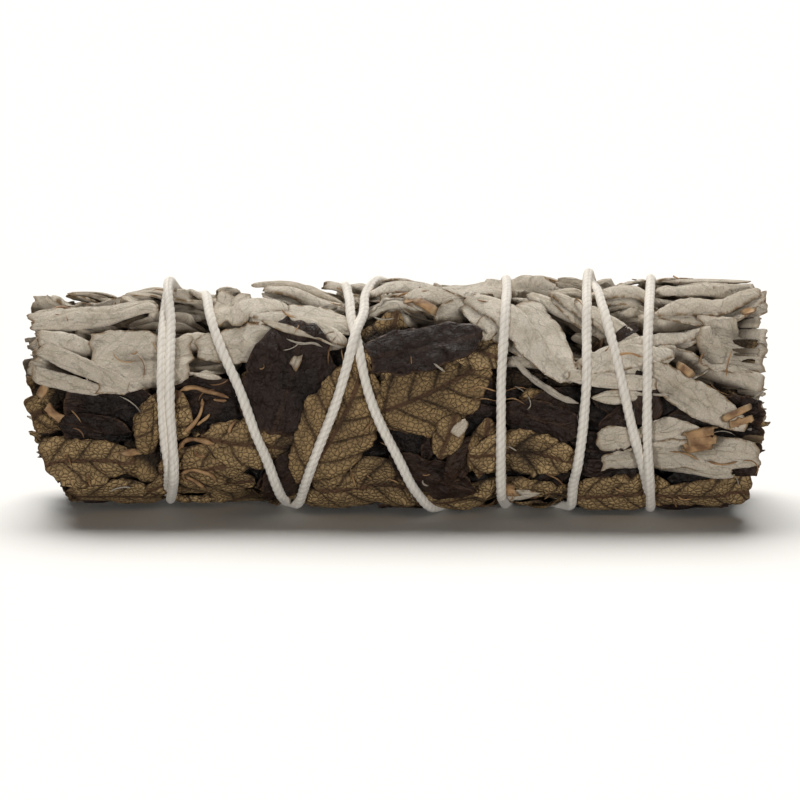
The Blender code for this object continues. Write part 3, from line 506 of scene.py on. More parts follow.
def pleat_form(leaf, u, v, half, seed):
    folds = max(2, round(leaf.width / 1.9))
    drift = 1.8 * (noise(u * leaf.length / 6, v * 0, seed) - 0.5)
    phase = (v + 1) / 2 * folds * math.pi + drift * 2
    ridge = 1 - np.abs(np.sin(phase))
    tall = 0.75 + 0.6 * noise(u * leaf.length / 5, np.floor(phase / math.pi), seed + 2)
    height = 0.95 * tall * (1 - ridge**1.4) * (1 - 0.35 * v**4)
    return half * (0.86 * v + 0.09 * np.sin(2 * phase)), height


def roll_form(leaf, u, v, half, seed):
    share = (v + 1) / 2
    broad = np.maximum(half, 0.35)
    radius = broad * (0.74 + 0.30 * share)
    start = -0.6 + 1.5 * noise(u * leaf.length / 6, v * 0, seed)
    angle = start + share * (5.0 + 1.0 * noise(u * 3, v * 0, seed + 1))
    return 1.12 * radius * np.sin(angle), 0.78 * (broad * 1.04 - radius * np.cos(angle))


def fold_form(leaf, u, v, half, seed):
    share = (v + 1) / 2
    crease = 0.54 + 0.14 * (noise(u * leaf.length / 4, v * 0, seed) - 0.5)
    under = np.clip(share / crease, 0, 1)
    bend = np.clip((share - crease) / 0.12, 0, 1)
    over = np.clip((share - crease - 0.12) / (0.88 - crease), 0, 1)
    y = half * (-1 + 2 * under) + 0.35 * np.sin(np.pi * bend) - 1.25 * half * over
    bulge = 0.5 + 0.5 * noise(u * leaf.length / 3, v * 0 + 4, seed)
    return y, 0.05 + 0.36 * (1 - np.cos(np.pi * bend)) + bulge * over * (1 - over) * 2 - 0.3 * over


def twist_form(leaf, u, v, half, seed):
    start = 2.4 * (noise(np.array(0.3), 0.7, seed) - 0.5)
    angle = start + (1.2 + 1.6 * noise(np.array(0.6), 0.1, seed)) * u
    reach = np.minimum(half, 1.7)
    bend = 0.35 * reach * (1 - v**2)
    height = 0.8 * (reach * v * np.sin(angle) + reach * np.abs(np.sin(angle))) + bend
    return half * v * np.cos(angle), height


FORMS = {
    "flat": flat_form, "cup": cup_form, "pleat": pleat_form,
    "roll": roll_form, "fold": fold_form, "twist": twist_form,
}
STRETCH = {"flat": 1.05, "cup": 1.2, "pleat": 1.5, "roll": 2.9, "fold": 1.8, "twist": 1.1}


def half_width(leaf, share, u, v, seed):
    """Half the width along the leaf, with its uneven margin and, on a net-veined leaf, its lobes."""
    along = leaf.begin + (leaf.end - leaf.begin) * share
    power = 0.62 if leaf.skin == SAGE else 0.5
    oval = np.maximum(np.sin(np.pi * np.clip(along, 0.004, 0.996)), 0) ** power
    if leaf.form == "roll":
        oval = 0.45 + 0.55 * oval
    side = np.where(v > 0, 3.7, 0.0)
    uneven = noise(u * leaf.length / 1.9, side, seed) - 0.5
    fine = noise(u * leaf.length / 0.6, side, seed + 2) - 0.5
    rough = 0.24 if leaf.form == "flat" and leaf.skin != NET else 0.14
    half = leaf.width / 2 * np.maximum(oval, 0.05) * (1 + rough * uneven + 0.09 * fine)
    if leaf.skin == NET and leaf.form == "flat":
        whole = leaf.length / (leaf.end - leaf.begin)
        phase = rib_phase(along * whole, half * np.sign(v), seed)
        half = half * (1 - 0.05 * np.exp(-((rib_distance(phase) / 0.55) ** 2)))
    return half


def rib_phase(along, y, seed):
    """Counts the side ribs along a leaf: it is a whole number on each of them."""
    curved = along - 0.62 * np.abs(y) - 0.035 * y * y
    curved = curved + 0.5 * (noise(along / 3.0, y / 3.0, seed) - 0.5)
    return curved / RIB_SPACING + np.where(y > 0, 0.4, 0.0)


def rib_distance(phase):
    return np.abs((phase + 0.5) % 1 - 0.5) * RIB_SPACING * 0.8


def trimmed(leaf, slack):
    """The leaf, cut off where it would stand out of an end of the bunch by more than this."""
    slant = math.radians(leaf.slant)
    for side in (-1, 1):
        reach = float(end_reach(side, leaf.turn)) + slack
        tip = side * leaf.x + leaf.length / 2 * abs(math.cos(slant))
        over = (tip - reach) / max(abs(math.cos(slant)), 0.3)
        if over <= 0:
            continue
        over = min(over, 0.7 * leaf.length)
        share = over / leaf.length * (leaf.end - leaf.begin)
        ahead = side * math.cos(slant) > 0
        shift = -over / 2 if ahead else over / 2
        leaf = leaf._replace(
            x=leaf.x + shift * math.cos(slant),
            turn=leaf.turn + math.degrees(shift * math.sin(slant) / MEAN_RADIUS),
            length=leaf.length - over,
            begin=leaf.begin if ahead else leaf.begin + share,
            end=leaf.end - share if ahead else leaf.end,
        )
    return leaf


class Sheet(NamedTuple):
    """A laid leaf: grids of X, turn and radius, and what its colours need."""

    x: np.ndarray
    turn: np.ndarray
    radius: np.ndarray
    along: np.ndarray
    across: np.ndarray
    phase: np.ndarray
    margin: np.ndarray
    cut: np.ndarray
    lobe: np.ndarray
    hollow: np.ndarray
    seed: int
    thickness: float


def with_relief(h, leaf, u, v, along, across, lobe, seed):
    """The height of a leaf's form with its lumps and ribs, its lifted ends and its raised edge."""
    middle = np.abs(across)
    h = h + LUMPS[leaf.skin] * (crumple(along / 4.6, across / 2.6, seed + 5) + 0.5)
    if leaf.skin == SAGE:
        h = h - 0.16 * (1 - ramp(middle, 0.1, 0.4))
        h = h + 0.24 * crumple(along / 1.8, across / 0.9, seed + 6)
    elif leaf.skin == NET:
        h = h + 0.42 * lobe - 0.5 * ramp(np.abs(v), 0.74, 1.0)
        h = h + 0.12 * (1 - ramp(middle, 0.1, 0.35))
    else:
        h = h + 0.10 * lobe + 1.9 * np.abs(crumple(along / 3.4, across / 2.0, seed + 7))
    h = h + leaf.lift[0] * ramp(1 - u, 0.6, 1.0) + leaf.lift[1] * ramp(u, 0.6, 1.0)
    h = h + leaf.stand * ramp(v, -0.2, 1.0)
    return h - min(0.0, float(h.min()))


def draped(leaf, below):
    """A sheet as stiff as this leaf, let down over these heights."""
    rows, columns = below.shape
    stiff = STIFFNESS[leaf.form]
    soft_u = smoothing(rows, stiff / (leaf.length / rows))
    soft_v = smoothing(columns, stiff / (leaf.width / columns)).T
    sheet = below
    for _ in range(4):
        sheet = np.maximum(below, soft_u @ sheet @ soft_v)
    if leaf.form in ("roll", "fold", "twist"):
        level = np.sort(sheet, axis=1)[:, int(0.8 * columns)][:, None]
        sheet = np.broadcast_to(soft_u @ level, below.shape)
    return sheet


def lay_leaf(leaf, ground, step, seed, slack):
    """Lays a leaf over the ground."""
    leaf = trimmed(leaf, slack)
    rows = max(5, round(leaf.length / step) + 1)
    columns = max(5, round(leaf.width * STRETCH[leaf.form] / step) + 1)
    u = np.linspace(0, 1, rows)[:, None]
    v = np.linspace(-1, 1, columns)[None, :]
    half = half_width(leaf, u, u, v, seed) * (0.5 if leaf.form == "roll" else 1.0)
    form = FORMS[leaf.form](leaf, u, v, half, seed)
    y, h, u, v = (np.array(a) for a in np.broadcast_arrays(*form, u, v))
    whole = leaf.length / (leaf.end - leaf.begin)
    along = (leaf.begin + (leaf.end - leaf.begin) * u) * whole
    across = v * half * STRETCH[leaf.form]
    tips = ramp(np.abs(2 * u - 1), 0.7, 1.0) * np.sign(u - 0.5)
    s = (u - 0.5) * leaf.length
    s = s + tips * 1.2 * (noise(across / 1.1, across * 0, seed + 4) - 0.5)
    y = y + leaf.bow * (4 * (u - 0.5) ** 2 - 0.4)

    phase = rib_phase(along, across, seed)
    off_rib = 1 - np.exp(-((rib_distance(phase) / 0.6) ** 2))
    lobe = off_rib * (1 - np.exp(-((np.abs(across) / 0.75) ** 2)))
    h = with_relief(h, leaf, u, v, along, across, lobe, seed)

    slant = math.radians(leaf.slant)
    x = leaf.x + s * math.cos(slant) - y * math.sin(slant)
    turn = leaf.turn + np.degrees((s * math.sin(slant) + y * math.cos(slant)) / bunch_radius(x))
    for side in (-1, 1):
        over = np.maximum(side * x - end_reach(side, turn) - 0.5, 0)
        x = x - side * 0.75 * over
    thickness = THICKNESS[leaf.skin]
    radius = draped(leaf, ground.read(ground.height, x, turn)) + thickness + 0.05 + h
    ground.lay(x, turn, radius, step)

    cut = np.zeros_like(y)
    if leaf.begin > 0.05:
        cut = np.maximum(cut, 1 - ramp(u * leaf.length, 0.0, 0.7))
    if leaf.end < 0.95:
        cut = np.maximum(cut, 1 - ramp((1 - u) * leaf.length, 0.0, 0.7))
    from_side = (1 - np.abs(v)) * np.abs(half) * STRETCH[leaf.form]
    margin = np.minimum(from_side, np.minimum(u, 1 - u) * leaf.length)
    hollow = h - smoothing(rows, 5) @ h @ smoothing(columns, 5).T
    return Sheet(x, turn, radius, along, across, phase, margin, cut, lobe, hollow, seed, thickness)


def finished_sheet(sheet, ground, around):
    """The sheet's settled points, its UVs and its marks, once every leaf is laid."""
    points = place(sheet.x, sheet.turn, ground.settled(sheet.x, sheet.turn, sheet.radius))
    # Masks for painted shade: how far the sheet lies below the smoothed ground round it, and where its
    # own relief dips.
    sunk_shade = ramp(ground.read(around, sheet.x, sheet.turn) - sheet.radius, 0.1, 1.7)
    hollow = np.clip(0.25 - 1.1 * sheet.hollow, 0, 1)
    tone = np.random.default_rng(sheet.seed + 900).random()
    marks = np.stack([sheet.phase, sheet.across, np.clip(sheet.margin, 0, 2), sheet.cut], axis=-1)
    tint = np.stack([np.full_like(sunk_shade, tone), hollow, sheet.lobe, sunk_shade], axis=-1)
    shift = np.array([sheet.seed * 0.613 % 7, sheet.seed * 0.377 % 5])
    uv = np.stack([sheet.along / 10, sheet.across / 10], axis=-1) + shift
    return points, uv, marks, tint, sheet.thickness


class Heap:
    """The meshes of one piece, gathered before they are made one object."""

    def __init__(self):
        self.points, self.quads, self.uvs, self.marks, self.tints = [], [], [], [], []
        self.count = 0

    def add(self, points, quads, uv=None, marks=None, tint=None):
        size = len(points)
        self.points.append(points)
        self.quads.append(np.asarray(quads) + self.count)
        self.uvs.append(np.zeros((size, 2)) if uv is None else uv)
        self.marks.append(np.tile([0.5, 2.0, 2, 0], (size, 1)) if marks is None else marks)
        self.tints.append(np.tile([0.5, 0, 1, 0.0], (size, 1)) if tint is None else tint)
        self.count += size

    def add_sheet(self, points, uv, marks, tint, thickness):
        """A closed leaf: this grid of points, and another under it."""
        rows, columns = points.shape[:2]
        along = np.gradient(points, axis=0)
        across = np.gradient(points, axis=1)
        normal = unit(np.cross(along, across))
        margin = marks[..., 2:3]
        under = points - normal * thickness * (0.4 + 0.6 * ramp(margin, 0.0, 0.4))
        index = np.arange(rows * columns).reshape(rows, columns)
        a, b, c, d = index[:-1, :-1], index[:-1, 1:], index[1:, 1:], index[1:, :-1]
        top = np.stack([a, d, c, b], axis=-1).reshape(-1, 4)
        bottom = np.stack([a, b, c, d], axis=-1).reshape(-1, 4) + rows * columns
        rim = np.concatenate([index[0, :-1], index[:-1, -1], index[-1, :0:-1], index[:0:-1, 0]])
        after = np.roll(rim, -1)
        sides = np.stack([rim, after, after + rows * columns, rim + rows * columns], axis=-1)
        quads = np.concatenate([top, bottom, sides])
        pairs = ((points, under), (uv, uv), (marks, marks), (tint, tint))
        lists = [np.concatenate(pair).reshape(2 * rows * columns, -1) for pair in pairs]
        self.add(lists[0], quads, *lists[1:])

    def add_tube(self, points, uv, marks=None, tints=None, turned=False):
        """A closed tube through these rings of points, with a flat cap at each end."""
        count, sides = points.shape[:2]
        index = np.arange(count * sides).reshape(count, sides)
        after = np.roll(index, -1, axis=1)
        quads = np.stack([index[:-1], index[1:], after[1:], after[:-1]], axis=-1).reshape(-1, 4)
        first, last = index[0], index[-1]
        steps = range(1, sides - 2, 2)
        caps = [[first[0], first[j], first[j + 1], first[j + 2]] for j in steps]
        caps += [[last[0], last[j + 2], last[j + 1], last[j]] for j in steps]
        quads = np.concatenate([quads, np.array(caps)])
        flat = (count * sides, -1)
        self.add(
            points.reshape(flat),
            quads[:, ::-1] if turned else quads,
            uv.reshape(flat),
            None if marks is None else marks.reshape(flat),
            None if tints is None else tints.reshape(flat),
        )

    def piece(self, name, material, slot, nodes=()):
        """Makes the object, and gives it its finish and its place on the body."""
        points = np.concatenate(self.points) * MM
        points[:, 2] = np.maximum(points[:, 2], 0)
        quads = np.concatenate(self.quads)
        mesh = bpy.data.meshes.new(name)
        mesh.vertices.add(len(points))
        mesh.vertices.foreach_set("co", points.astype(np.float32).ravel())
        mesh.loops.add(quads.size)
        mesh.loops.foreach_set("vertex_index", quads.astype(np.int32).ravel())
        mesh.polygons.add(len(quads))
        mesh.polygons.foreach_set("loop_start", np.arange(0, quads.size, 4, dtype=np.int32))
        mesh.update(calc_edges=True)
        uv = mesh.uv_layers.new(name="leaf")
        corners = np.concatenate(self.uvs)[quads.ravel()]
        uv.data.foreach_set("uv", corners.astype(np.float32).ravel())
        for label, values in (("marks", self.marks), ("tint", self.tints)):
            layer = mesh.attributes.new(label, "FLOAT_COLOR", "POINT")
            layer.data.foreach_set("color", np.concatenate(values).astype(np.float32).ravel())
        mesh.shade_smooth()
        return dressed(bpy.data.objects.new(name, mesh), material, nodes)


def dressed(piece, material, nodes=()):
    """Gives a finished piece its material and its body, and hides the imported parts of the nodes that
    it stands for.
    """
    if not piece.users_collection:
        bpy.context.scene.collection.objects.link(piece)
    piece.data.materials.clear()
    piece.data.materials.append(material)
    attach(piece, "root")
    if nodes:
        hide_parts(*nodes)
    return piece


def skin_at(x, turn, draw):
    """The skin of a leaf that fills in at this place, seen as in the photograph."""
    border = np.interp(x, (-50, -23, -18, 10, 20, 28, 50), (2, 3, 36, 36, 12, 0, -3))
    if border + 4 < turn % 360 < 180:
        return SAGE
    return NET if draw.random() < 0.55 else DARK


def sector_of(turn):
    for name, low, high in SECTORS:
        if low <= turn < high or low <= turn + 360 < high:
            return name
    return "dark_5"


# Forms of the leaves that fill in, by skin, as (form, share, width).
FILLING_FORMS = {
    SAGE: (("pleat", 0.24, 4.8), ("roll", 0.20, 3.0), ("fold", 0.20, 3.4), ("cup", 0.16, 3.4),
           ("twist", 0.10, 2.6), ("flat", 0.10, 4.6)),
    NET: (("flat", 0.55, 8.0), ("cup", 0.20, 5.6), ("fold", 0.25, 4.4)),
    DARK: (("flat", 0.45, 7.5), ("cup", 0.20, 5.2), ("pleat", 0.15, 5.6), ("fold", 0.20, 4.2)),
}
# Layers of them, as (gap along X, gap in turn, mesh step, share kept in front, share kept behind).
FILLING_LAYERS = ((9.5, 26, 0.8, 1.0, 1.0), (8.5, 18, 0.55, 0.9, 1.0), (8.5, 16, 0.42, 0.6, 0.95))


def filling_leaves():
    """Leaves all round the bunch, under those that the photograph shows and where it shows none."""
    found = []
    draw = np.random.default_rng(41)
    for layer, (gap_x, gap_turn, step, front, behind) in enumerate(FILLING_LAYERS):
        for i, x in enumerate(np.arange(-46, 47, gap_x)):
            for turn in np.arange(0, 360, gap_turn):
                x1 = x + draw.uniform(-2.8, 2.8)
                turn1 = (turn + gap_turn * (0.5 * (i % 2) + draw.uniform(-0.35, 0.35))) % 360
                seen_in_front = turn1 < 78 or turn1 > 285
                if draw.random() > (front if seen_in_front else behind):
                    continue
                skin = skin_at(x1, turn1, draw)
                sprig = sector_of(turn1)
                if skin == SAGE and sprig.startswith("dark"):
                    sprig = "sage_1"
                if skin != SAGE and sprig.startswith("sage"):
                    sprig = "dark_5"
                forms = FILLING_FORMS[skin]
                pick = draw.choice(len(forms), p=[share for _, share, _ in forms])
                form, _, wide = forms[pick]
                if layer == 0:
                    form, wide = "flat", 8.0
                slant = draw.normal(0, 15 if skin == SAGE else 38)
                long = draw.uniform(10, 16) if skin == SAGE else draw.uniform(11, 17)
                lift = (0.0, 0.0) if layer < 2 else tuple(draw.uniform(0, 0.5, 2))
                begin, end = draw.uniform(0, 0.15), draw.uniform(0.85, 1)
                leaf = Leaf(sprig, x1, turn1, long, wide * draw.uniform(0.8, 1.25), slant, skin, form,
                            begin, end, draw.uniform(-1, 1), lift, draw.uniform(-0.2, 0.4), 0.35)
                found.append((leaf, step))
    return found


# The most points that one piece of leaves is given.
MOST_POINTS = 92000


def leafy_sprigs(ground, materials):
    """All the leaves, laid in order and gathered into a piece for each sprig and skin."""
    work = filling_leaves()
    filling = len(work)
    for leaf in FRONT_LEAVES:
        work.append((leaf, 0.2 if leaf.skin == NET or leaf.width < 3 else 0.26))
    laid = []
    draw = np.random.default_rng(12)
    for seed, (leaf, step) in enumerate(work):
        x, turn = seen_place(leaf.x, leaf.turn)
        slack = draw.uniform(0.0, 0.5) if seed >= filling else draw.uniform(-1.3, 0.5)
        laid.append((leaf, lay_leaf(leaf._replace(x=x, turn=turn), ground, step, seed + 1, slack)))
    around = ground.blurred(2.4)
    ground.wide = ground.blurred(6.0)
    heaps = {}
    for leaf, sheet in laid:
        stack = heaps.setdefault((leaf.sprig, leaf.skin), [Heap()])
        if stack[-1].count + 2 * sheet.x.size > MOST_POINTS:
            stack.append(Heap())
        stack[-1].add_sheet(*finished_sheet(sheet, ground, around))
    for (sprig, skin), stack in sorted(heaps.items()):
        node = NODE_NAMES[sprig]
        slot = {SAGE: "sage_leaf", STRAW: "stem"}.get(skin, "dark_leaf")
        for k, heap in enumerate(stack):
            name = f"{node}_{skin}" if k == 0 else f"{node}_{skin}_{k + 1}"
            heap.piece(name, materials[skin], slot, [node])


def from_picture(across, down):
    """The X and turn of a place read off the photograph, from its pixels."""
    x = (across - PICTURE_MIDDLE) / PIXELS_PER_MM
    above = (np.interp(across, *AXIS_IN_PICTURE) - down) / (PIXELS_PER_MM * bunch_radius(x))
    return seen_place(x, math.degrees(math.asin(np.clip(above, -0.97, 0.97))))


def loose_fibres(ground, materials):
    """Fibres, leaf stalks and hairs that lie across the leaves."""
    heaps = {SAGE: Heap(), STRAW: Heap()}
    for k, (thick, skin, *spots) in enumerate(FIBRES):
        path = np.array([from_picture(*spot) for spot in spots])
        length = np.hypot(np.diff(path[:, 0]), np.radians(np.diff(path[:, 1])) * MEAN_RADIUS)
        run = running(length)
        even = np.arange(0, run[-1], 0.16)
        soft = smoothing(len(even), 4)
        x, turn = (soft @ np.interp(even, run, path[:, i]) for i in (0, 1))
        laid_on(ground, x, turn, thick, heaps[skin], k)
    draw = np.random.default_rng(77)
    for k in range(110):
        x = draw.uniform(-46, 46)
        turn = draw.uniform(-60, 200)
        long = draw.uniform(1.2, 5)
        share = np.linspace(0, 1, max(8, int(long / 0.2)))
        angle = draw.uniform(0, 6.3) + draw.normal(0, 1.2) * share
        step = long / len(share)
        x = x + np.cumsum(np.cos(angle)) * step
        turn = turn + np.degrees(np.cumsum(np.sin(angle)) * step / MEAN_RADIUS)
        skin = STRAW if draw.random() < 0.75 else SAGE
        laid_on(ground, x, turn, draw.uniform(0.09, 0.24), heaps[skin], k)
    heaps[STRAW].piece("loose_straw_fibres", materials[STRAW], "stem")
    heaps[SAGE].piece("loose_leaf_stalks", materials[SAGE], "sage_leaf")


def laid_on(ground, x, turn, thick, heap, seed):
    """A thin fibre along these places, on whatever lies there."""
    height = ground.settled(x, turn, ground.read(ground.height, x, turn))
    soft = smoothing(len(x), 5)
    for _ in range(3):
        height = np.maximum(height, soft @ height)
    run = np.linspace(0, 1, len(x))
    wave = noise(run * len(x) / 9, 0.5, seed) * 0.3
    points = place(x, turn, soft @ height + 0.35 * thick + wave)
    size = 0.5 * thick * (0.7 + 0.6 * noise(run * len(x) / 5, 2.5, seed + 1))
    size = size * np.maximum(0.25, np.minimum(1, 6 * np.minimum(run, 1 - run)))
    tube(points, size, heap, 6, seed * 0.37)


# The cut ends: stems, and the edges of the leaves that are packed round them.
STEMS = 15
STEM_SIDES = 24
STEM_PROFILE = (
    (6.0, 1.0), (1.0, 1.02), (0.4, 1.0), (0.12, 0.99), (0.0, 0.9), (0.05, 0.6), (0.0, 0.36),
    (0.25, 0.28), (0.32, 0.02),
)
STEM_ROOM = 1.45
END_X = 49.0
END_MIDDLE = 48.3
EDGE_TRIES = 3600
EDGE_STEP = 0.28
EDGE_DEPTHS = (3.6, 2.0, 0.9, 0.35, 0.08, 0.0)


def stem_places(seed, reach):
    """Places for cut stems, spread over an end by picking the roomiest of random points."""
    draw = np.random.default_rng(seed)
    chosen = [draw.uniform(-2, 2, 2)]
    while len(chosen) < STEMS:
        radius = reach * np.sqrt(draw.random(12))
        angle = draw.uniform(0, 2 * np.pi, 12)
        tries = np.stack([radius * np.cos(angle), radius * np.sin(angle)], axis=1)
        room = np.min([np.linalg.norm(tries - spot, axis=1) for spot in chosen], axis=0)
        chosen.append(tries[np.argmax(room)])
    return np.array(chosen)


def end_face(side, across, up):
    """How far an end reaches at this place in its plane."""
    share = np.hypot(across, up) / (bunch_radius(side * END_X) - 0.5)
    reach = end_reach(side, np.degrees(np.arctan2(up, -across)))
    uneven = 1.3 * crumple(across / 5 + 3, up / 5 + 5, 3 + side)
    return END_MIDDLE + (reach - END_MIDDLE) * np.clip(share, 0, 1) ** 3 + uneven


def end_point(side, x, across, up):
    """A point of a cut end, from its X and its place in the end's plane."""
    turn = np.degrees(np.arctan2(up, -across))
    whole = np.maximum(bunch_radius(side * END_X) - 0.6, 1)
    squeeze = np.minimum(1, (AXIS_HEIGHT / downward(turn) - 1.0) / whole)
    return place(x, turn, np.hypot(across, up) * squeeze)


def packing_level(spot, stems, reach, seed):
    """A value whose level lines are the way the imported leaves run: round the stems and along the
    outside, in swirls between."""
    near = np.min(np.hypot(spot[0] - stems[:, 0], spot[1] - stems[:, 1]))
    out = math.hypot(*spot)
    swirl = crumple(spot[0] / 6.5, spot[1] / 6.5, seed)
    swirl = swirl + 0.25 * crumple(spot[0] / 2, spot[1] / 2, seed + 1)
    rim = 4.0 * float(ramp(out / reach, 0.6, 1.0)) * out / reach
    return 3.2 * (1 - math.exp(-near / 1.8)) + 9.0 * swirl + rim


def leaf_edges(side, stems, reach, heaps, seed):
    """Cut leaf edges packed over the end, each a strip that stands out of it."""
    draw = np.random.default_rng(seed)
    laid = np.full((1, 2), 99.0)

    def blocked(spot, gap):
        if math.hypot(*spot) > reach or np.min(np.hypot(*(laid - spot).T)) < gap:
            return True
        return np.min(np.hypot(*(stems - spot).T)) < STEM_ROOM

    def onward(spot):
        here = packing_level(spot, stems, reach, seed)
        slope = np.array([
            packing_level(spot + (0.08, 0), stems, reach, seed) - here,
            packing_level(spot + (0, 0.08), stems, reach, seed) - here,
        ])
        return np.array([-slope[1], slope[0]]) / max(np.hypot(*slope), 1e-9)

    for _ in range(EDGE_TRIES):
        radius, angle = reach * math.sqrt(draw.random()), draw.uniform(0, 2 * np.pi)
        start = np.array([radius * math.cos(angle), radius * math.sin(angle)])
        gap = draw.uniform(0.42, 0.8)
        if blocked(start, gap):
            continue
        line = [start]
        for sense in (-1, 1):
            spot = start
            for _ in range(draw.integers(3, 13)):
                spot = spot + sense * EDGE_STEP * onward(spot)
                if blocked(spot, 0.8 * gap):
                    break
                line = [*line, spot] if sense > 0 else [spot, *line]
        if len(line) < 5:
            continue
        line = np.array(line)
        laid = np.concatenate([laid, line])
        skin = edge_skin(*line.mean(0), draw)
        strip(side, line, heaps[skin], skin, draw)


def edge_skin(across, up, draw):
    """Sage above and to the back, dark leaves below, with some of each among the other."""
    share = 0.78 if up > -0.3 * abs(across) - 1 else 0.3
    if draw.random() < share:
        return SAGE
    return NET if draw.random() < 0.6 else DARK


def strip(side, line, heap, skin, draw):
    """One cut leaf edge: a strip along this line, from inside the end to a ragged edge."""
    count = len(line)
    depth = np.array(EDGE_DEPTHS)
    top = draw.normal(-0.5, 0.65)
    ragged = 1.1 * (noise(np.arange(count) * 0.3, draw.uniform(0, 50), 6) - 0.5)
    ragged = ragged + 0.5 * (noise(np.arange(count) * 0.9, draw.uniform(0, 50), 7) - 0.5)
    lean = draw.normal(0.0, 0.35)
    ahead = np.gradient(line, axis=0)
    outward = unit(np.stack([ahead[:, 1], -ahead[:, 0]], axis=1))
    face = end_face(side, line[:, 0], line[:, 1])
    rows = []
    for back in depth:
        spot = line + outward * lean * (1 - back / EDGE_DEPTHS[0]) ** 2
        rows.append(end_point(side, side * (face + top + ragged - back), spot[:, 0], spot[:, 1]))
    points = np.array(rows)
    shape = points.shape[:2]
    deep = np.broadcast_to(depth[:, None], shape)
    cut = (deep < 0.3).astype(float)
    # A mask for painted shade, darker the deeper the strip goes into the end.
    sunk_shade = np.clip((deep - top - 0.1) / 2.2, 0, 1)
    tone = draw.random()
    run = np.broadcast_to(np.arange(count)[None, :] * EDGE_STEP, shape)
    marks = np.stack([run / 3 + tone * 7, 0.5 + deep, 2 - 2 * cut, 0.7 * cut], axis=-1)
    tint = np.stack([np.full(shape, tone), 0 * cut, 1 + 0 * cut, sunk_shade], axis=-1)
    uv = np.stack([run / 10 + tone * 7, deep / 10], axis=-1)
    heap.add_sheet(points, uv, marks, tint, THICKNESS[skin] * draw.uniform(0.9, 1.7))


def cut_stems(side, stems, heap, seed):
    """Woody stems: bark round the side, and a cut face with rings and a softer pith."""
    draw = np.random.default_rng(seed)
    angle = circle(STEM_SIDES)
    for spot in stems:
        radius = draw.uniform(0.7, 1.3)
        tilt = draw.uniform(-0.45, 0.45, 2)
        top = end_face(side, *spot) + draw.uniform(-1.4, 0.6)
        uneven = 1 + 0.14 * np.cos(3 * angle + draw.uniform(0, 6)) + 0.07 * np.cos(7 * angle)
        rows, marks, tints = [], [], []
        tone = draw.random()
        for back, share in STEM_PROFILE:
            reach = radius * share * (uneven if share > 0.5 else 1)
            across = spot[0] + reach * np.cos(angle)
            up = spot[1] + reach * np.sin(angle)
            slope = tilt[0] * (across - spot[0]) + tilt[1] * (up - spot[1])
            torn = 0.3 * (noise(across * 3, up * 3, 2) - 0.5)
            x = side * (top - back + (slope + torn if back < 3 else 0))
            rows.append(end_point(side, x, across, up))
            face = 1.0 if share < 0.95 else 0.0
            marks.append(np.tile([share, face, 1.0, face], (STEM_SIDES, 1)))
            # A mask for painted shade, darker the further the stem goes into the end.
            sunk_shade = float(np.clip(back / 2.5, 0, 1))
            tints.append(np.tile([tone, 0.0, 1, sunk_shade], (STEM_SIDES, 1)))
        points = np.array(rows)
        run = np.array([back for back, _ in STEM_PROFILE])[:, None] / 10 + tone * 5
        uv = np.stack(np.broadcast_arrays(run, angle[None, :] * radius / 10), axis=-1)
        heap.add_tube(points, uv, np.array(marks), np.array(tints), side > 0)


def cut_end(side, word, materials):
    """The leaf edges and stems of one cut end."""
    reach = float(bunch_radius(side * END_X)) - 0.9
    stems = stem_places(20 + side, reach - 1.8)
    heaps = {SAGE: Heap(), NET: Heap(), DARK: Heap()}
    leaf_edges(side, stems, reach - 1.3, heaps, 5 + side)
    for skin, heap in heaps.items():
        slot = "sage_leaf" if skin == SAGE else "dark_leaf"
        heap.piece(f"{word}_end_{skin}_edges", materials[skin], slot)
    heap = Heap()
    cut_stems(side, stems, heap, 50 + side)
    heap.piece(f"{word}_end_cut_stems", materials["stem"], "stem")


def packed_bed(ground):
    """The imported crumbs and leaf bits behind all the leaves, closed by a rough disc at each end."""
    around = 160
    turns = np.linspace(0, 360, around + 1)[:-1]
    rings = []
    for share in np.linspace(-1, 1, 150):
        x = share * (end_reach(math.copysign(1, share), turns) - 2.2)
        radius = ground.read(ground.bed, x, turns) + 0.5 * crumple(x / 1.3, turns / 5, 9)
        rings.append(place(x, turns, ground.settled(x, turns, radius)))
    for side in (-1, 1):
        edge = rings[0] if side < 0 else rings[-1]
        cap = []
        for share in np.linspace(0.98, 0.02, 46):
            points = edge * [1, share, share] + [0, 0, AXIS_HEIGHT * (1 - share)]
            rough = 1.9 * crumple(points[:, 1] / 1.4, points[:, 2] / 1.4, 2 + side)
            face = end_face(side, points[:, 1], points[:, 2] - AXIS_HEIGHT) - 2.2
            points[:, 0] = side * (face + rough * min(1, (1 - share) * 12))
            cap.append(points)
        rings = cap[::-1] + rings if side < 0 else rings + cap
    points = np.array(rings)
    uv = np.stack([points[..., 0] / 10, np.broadcast_to(turns / 36, points.shape[:2])], axis=-1)
    heap = Heap()
    heap.add_tube(points, uv)
    return heap


# The string.
def taut(needed):
    """The string's distance from the axis, drawn tight over what it must clear."""
    radii = needed.copy()
    for _ in range(160):
        middle = 0.5 * (np.roll(radii, 1) + np.roll(radii, -1)) - 0.0028
        middle[0], middle[-1] = radii[0], radii[-1]
        radii = np.maximum(needed, middle)
    return radii


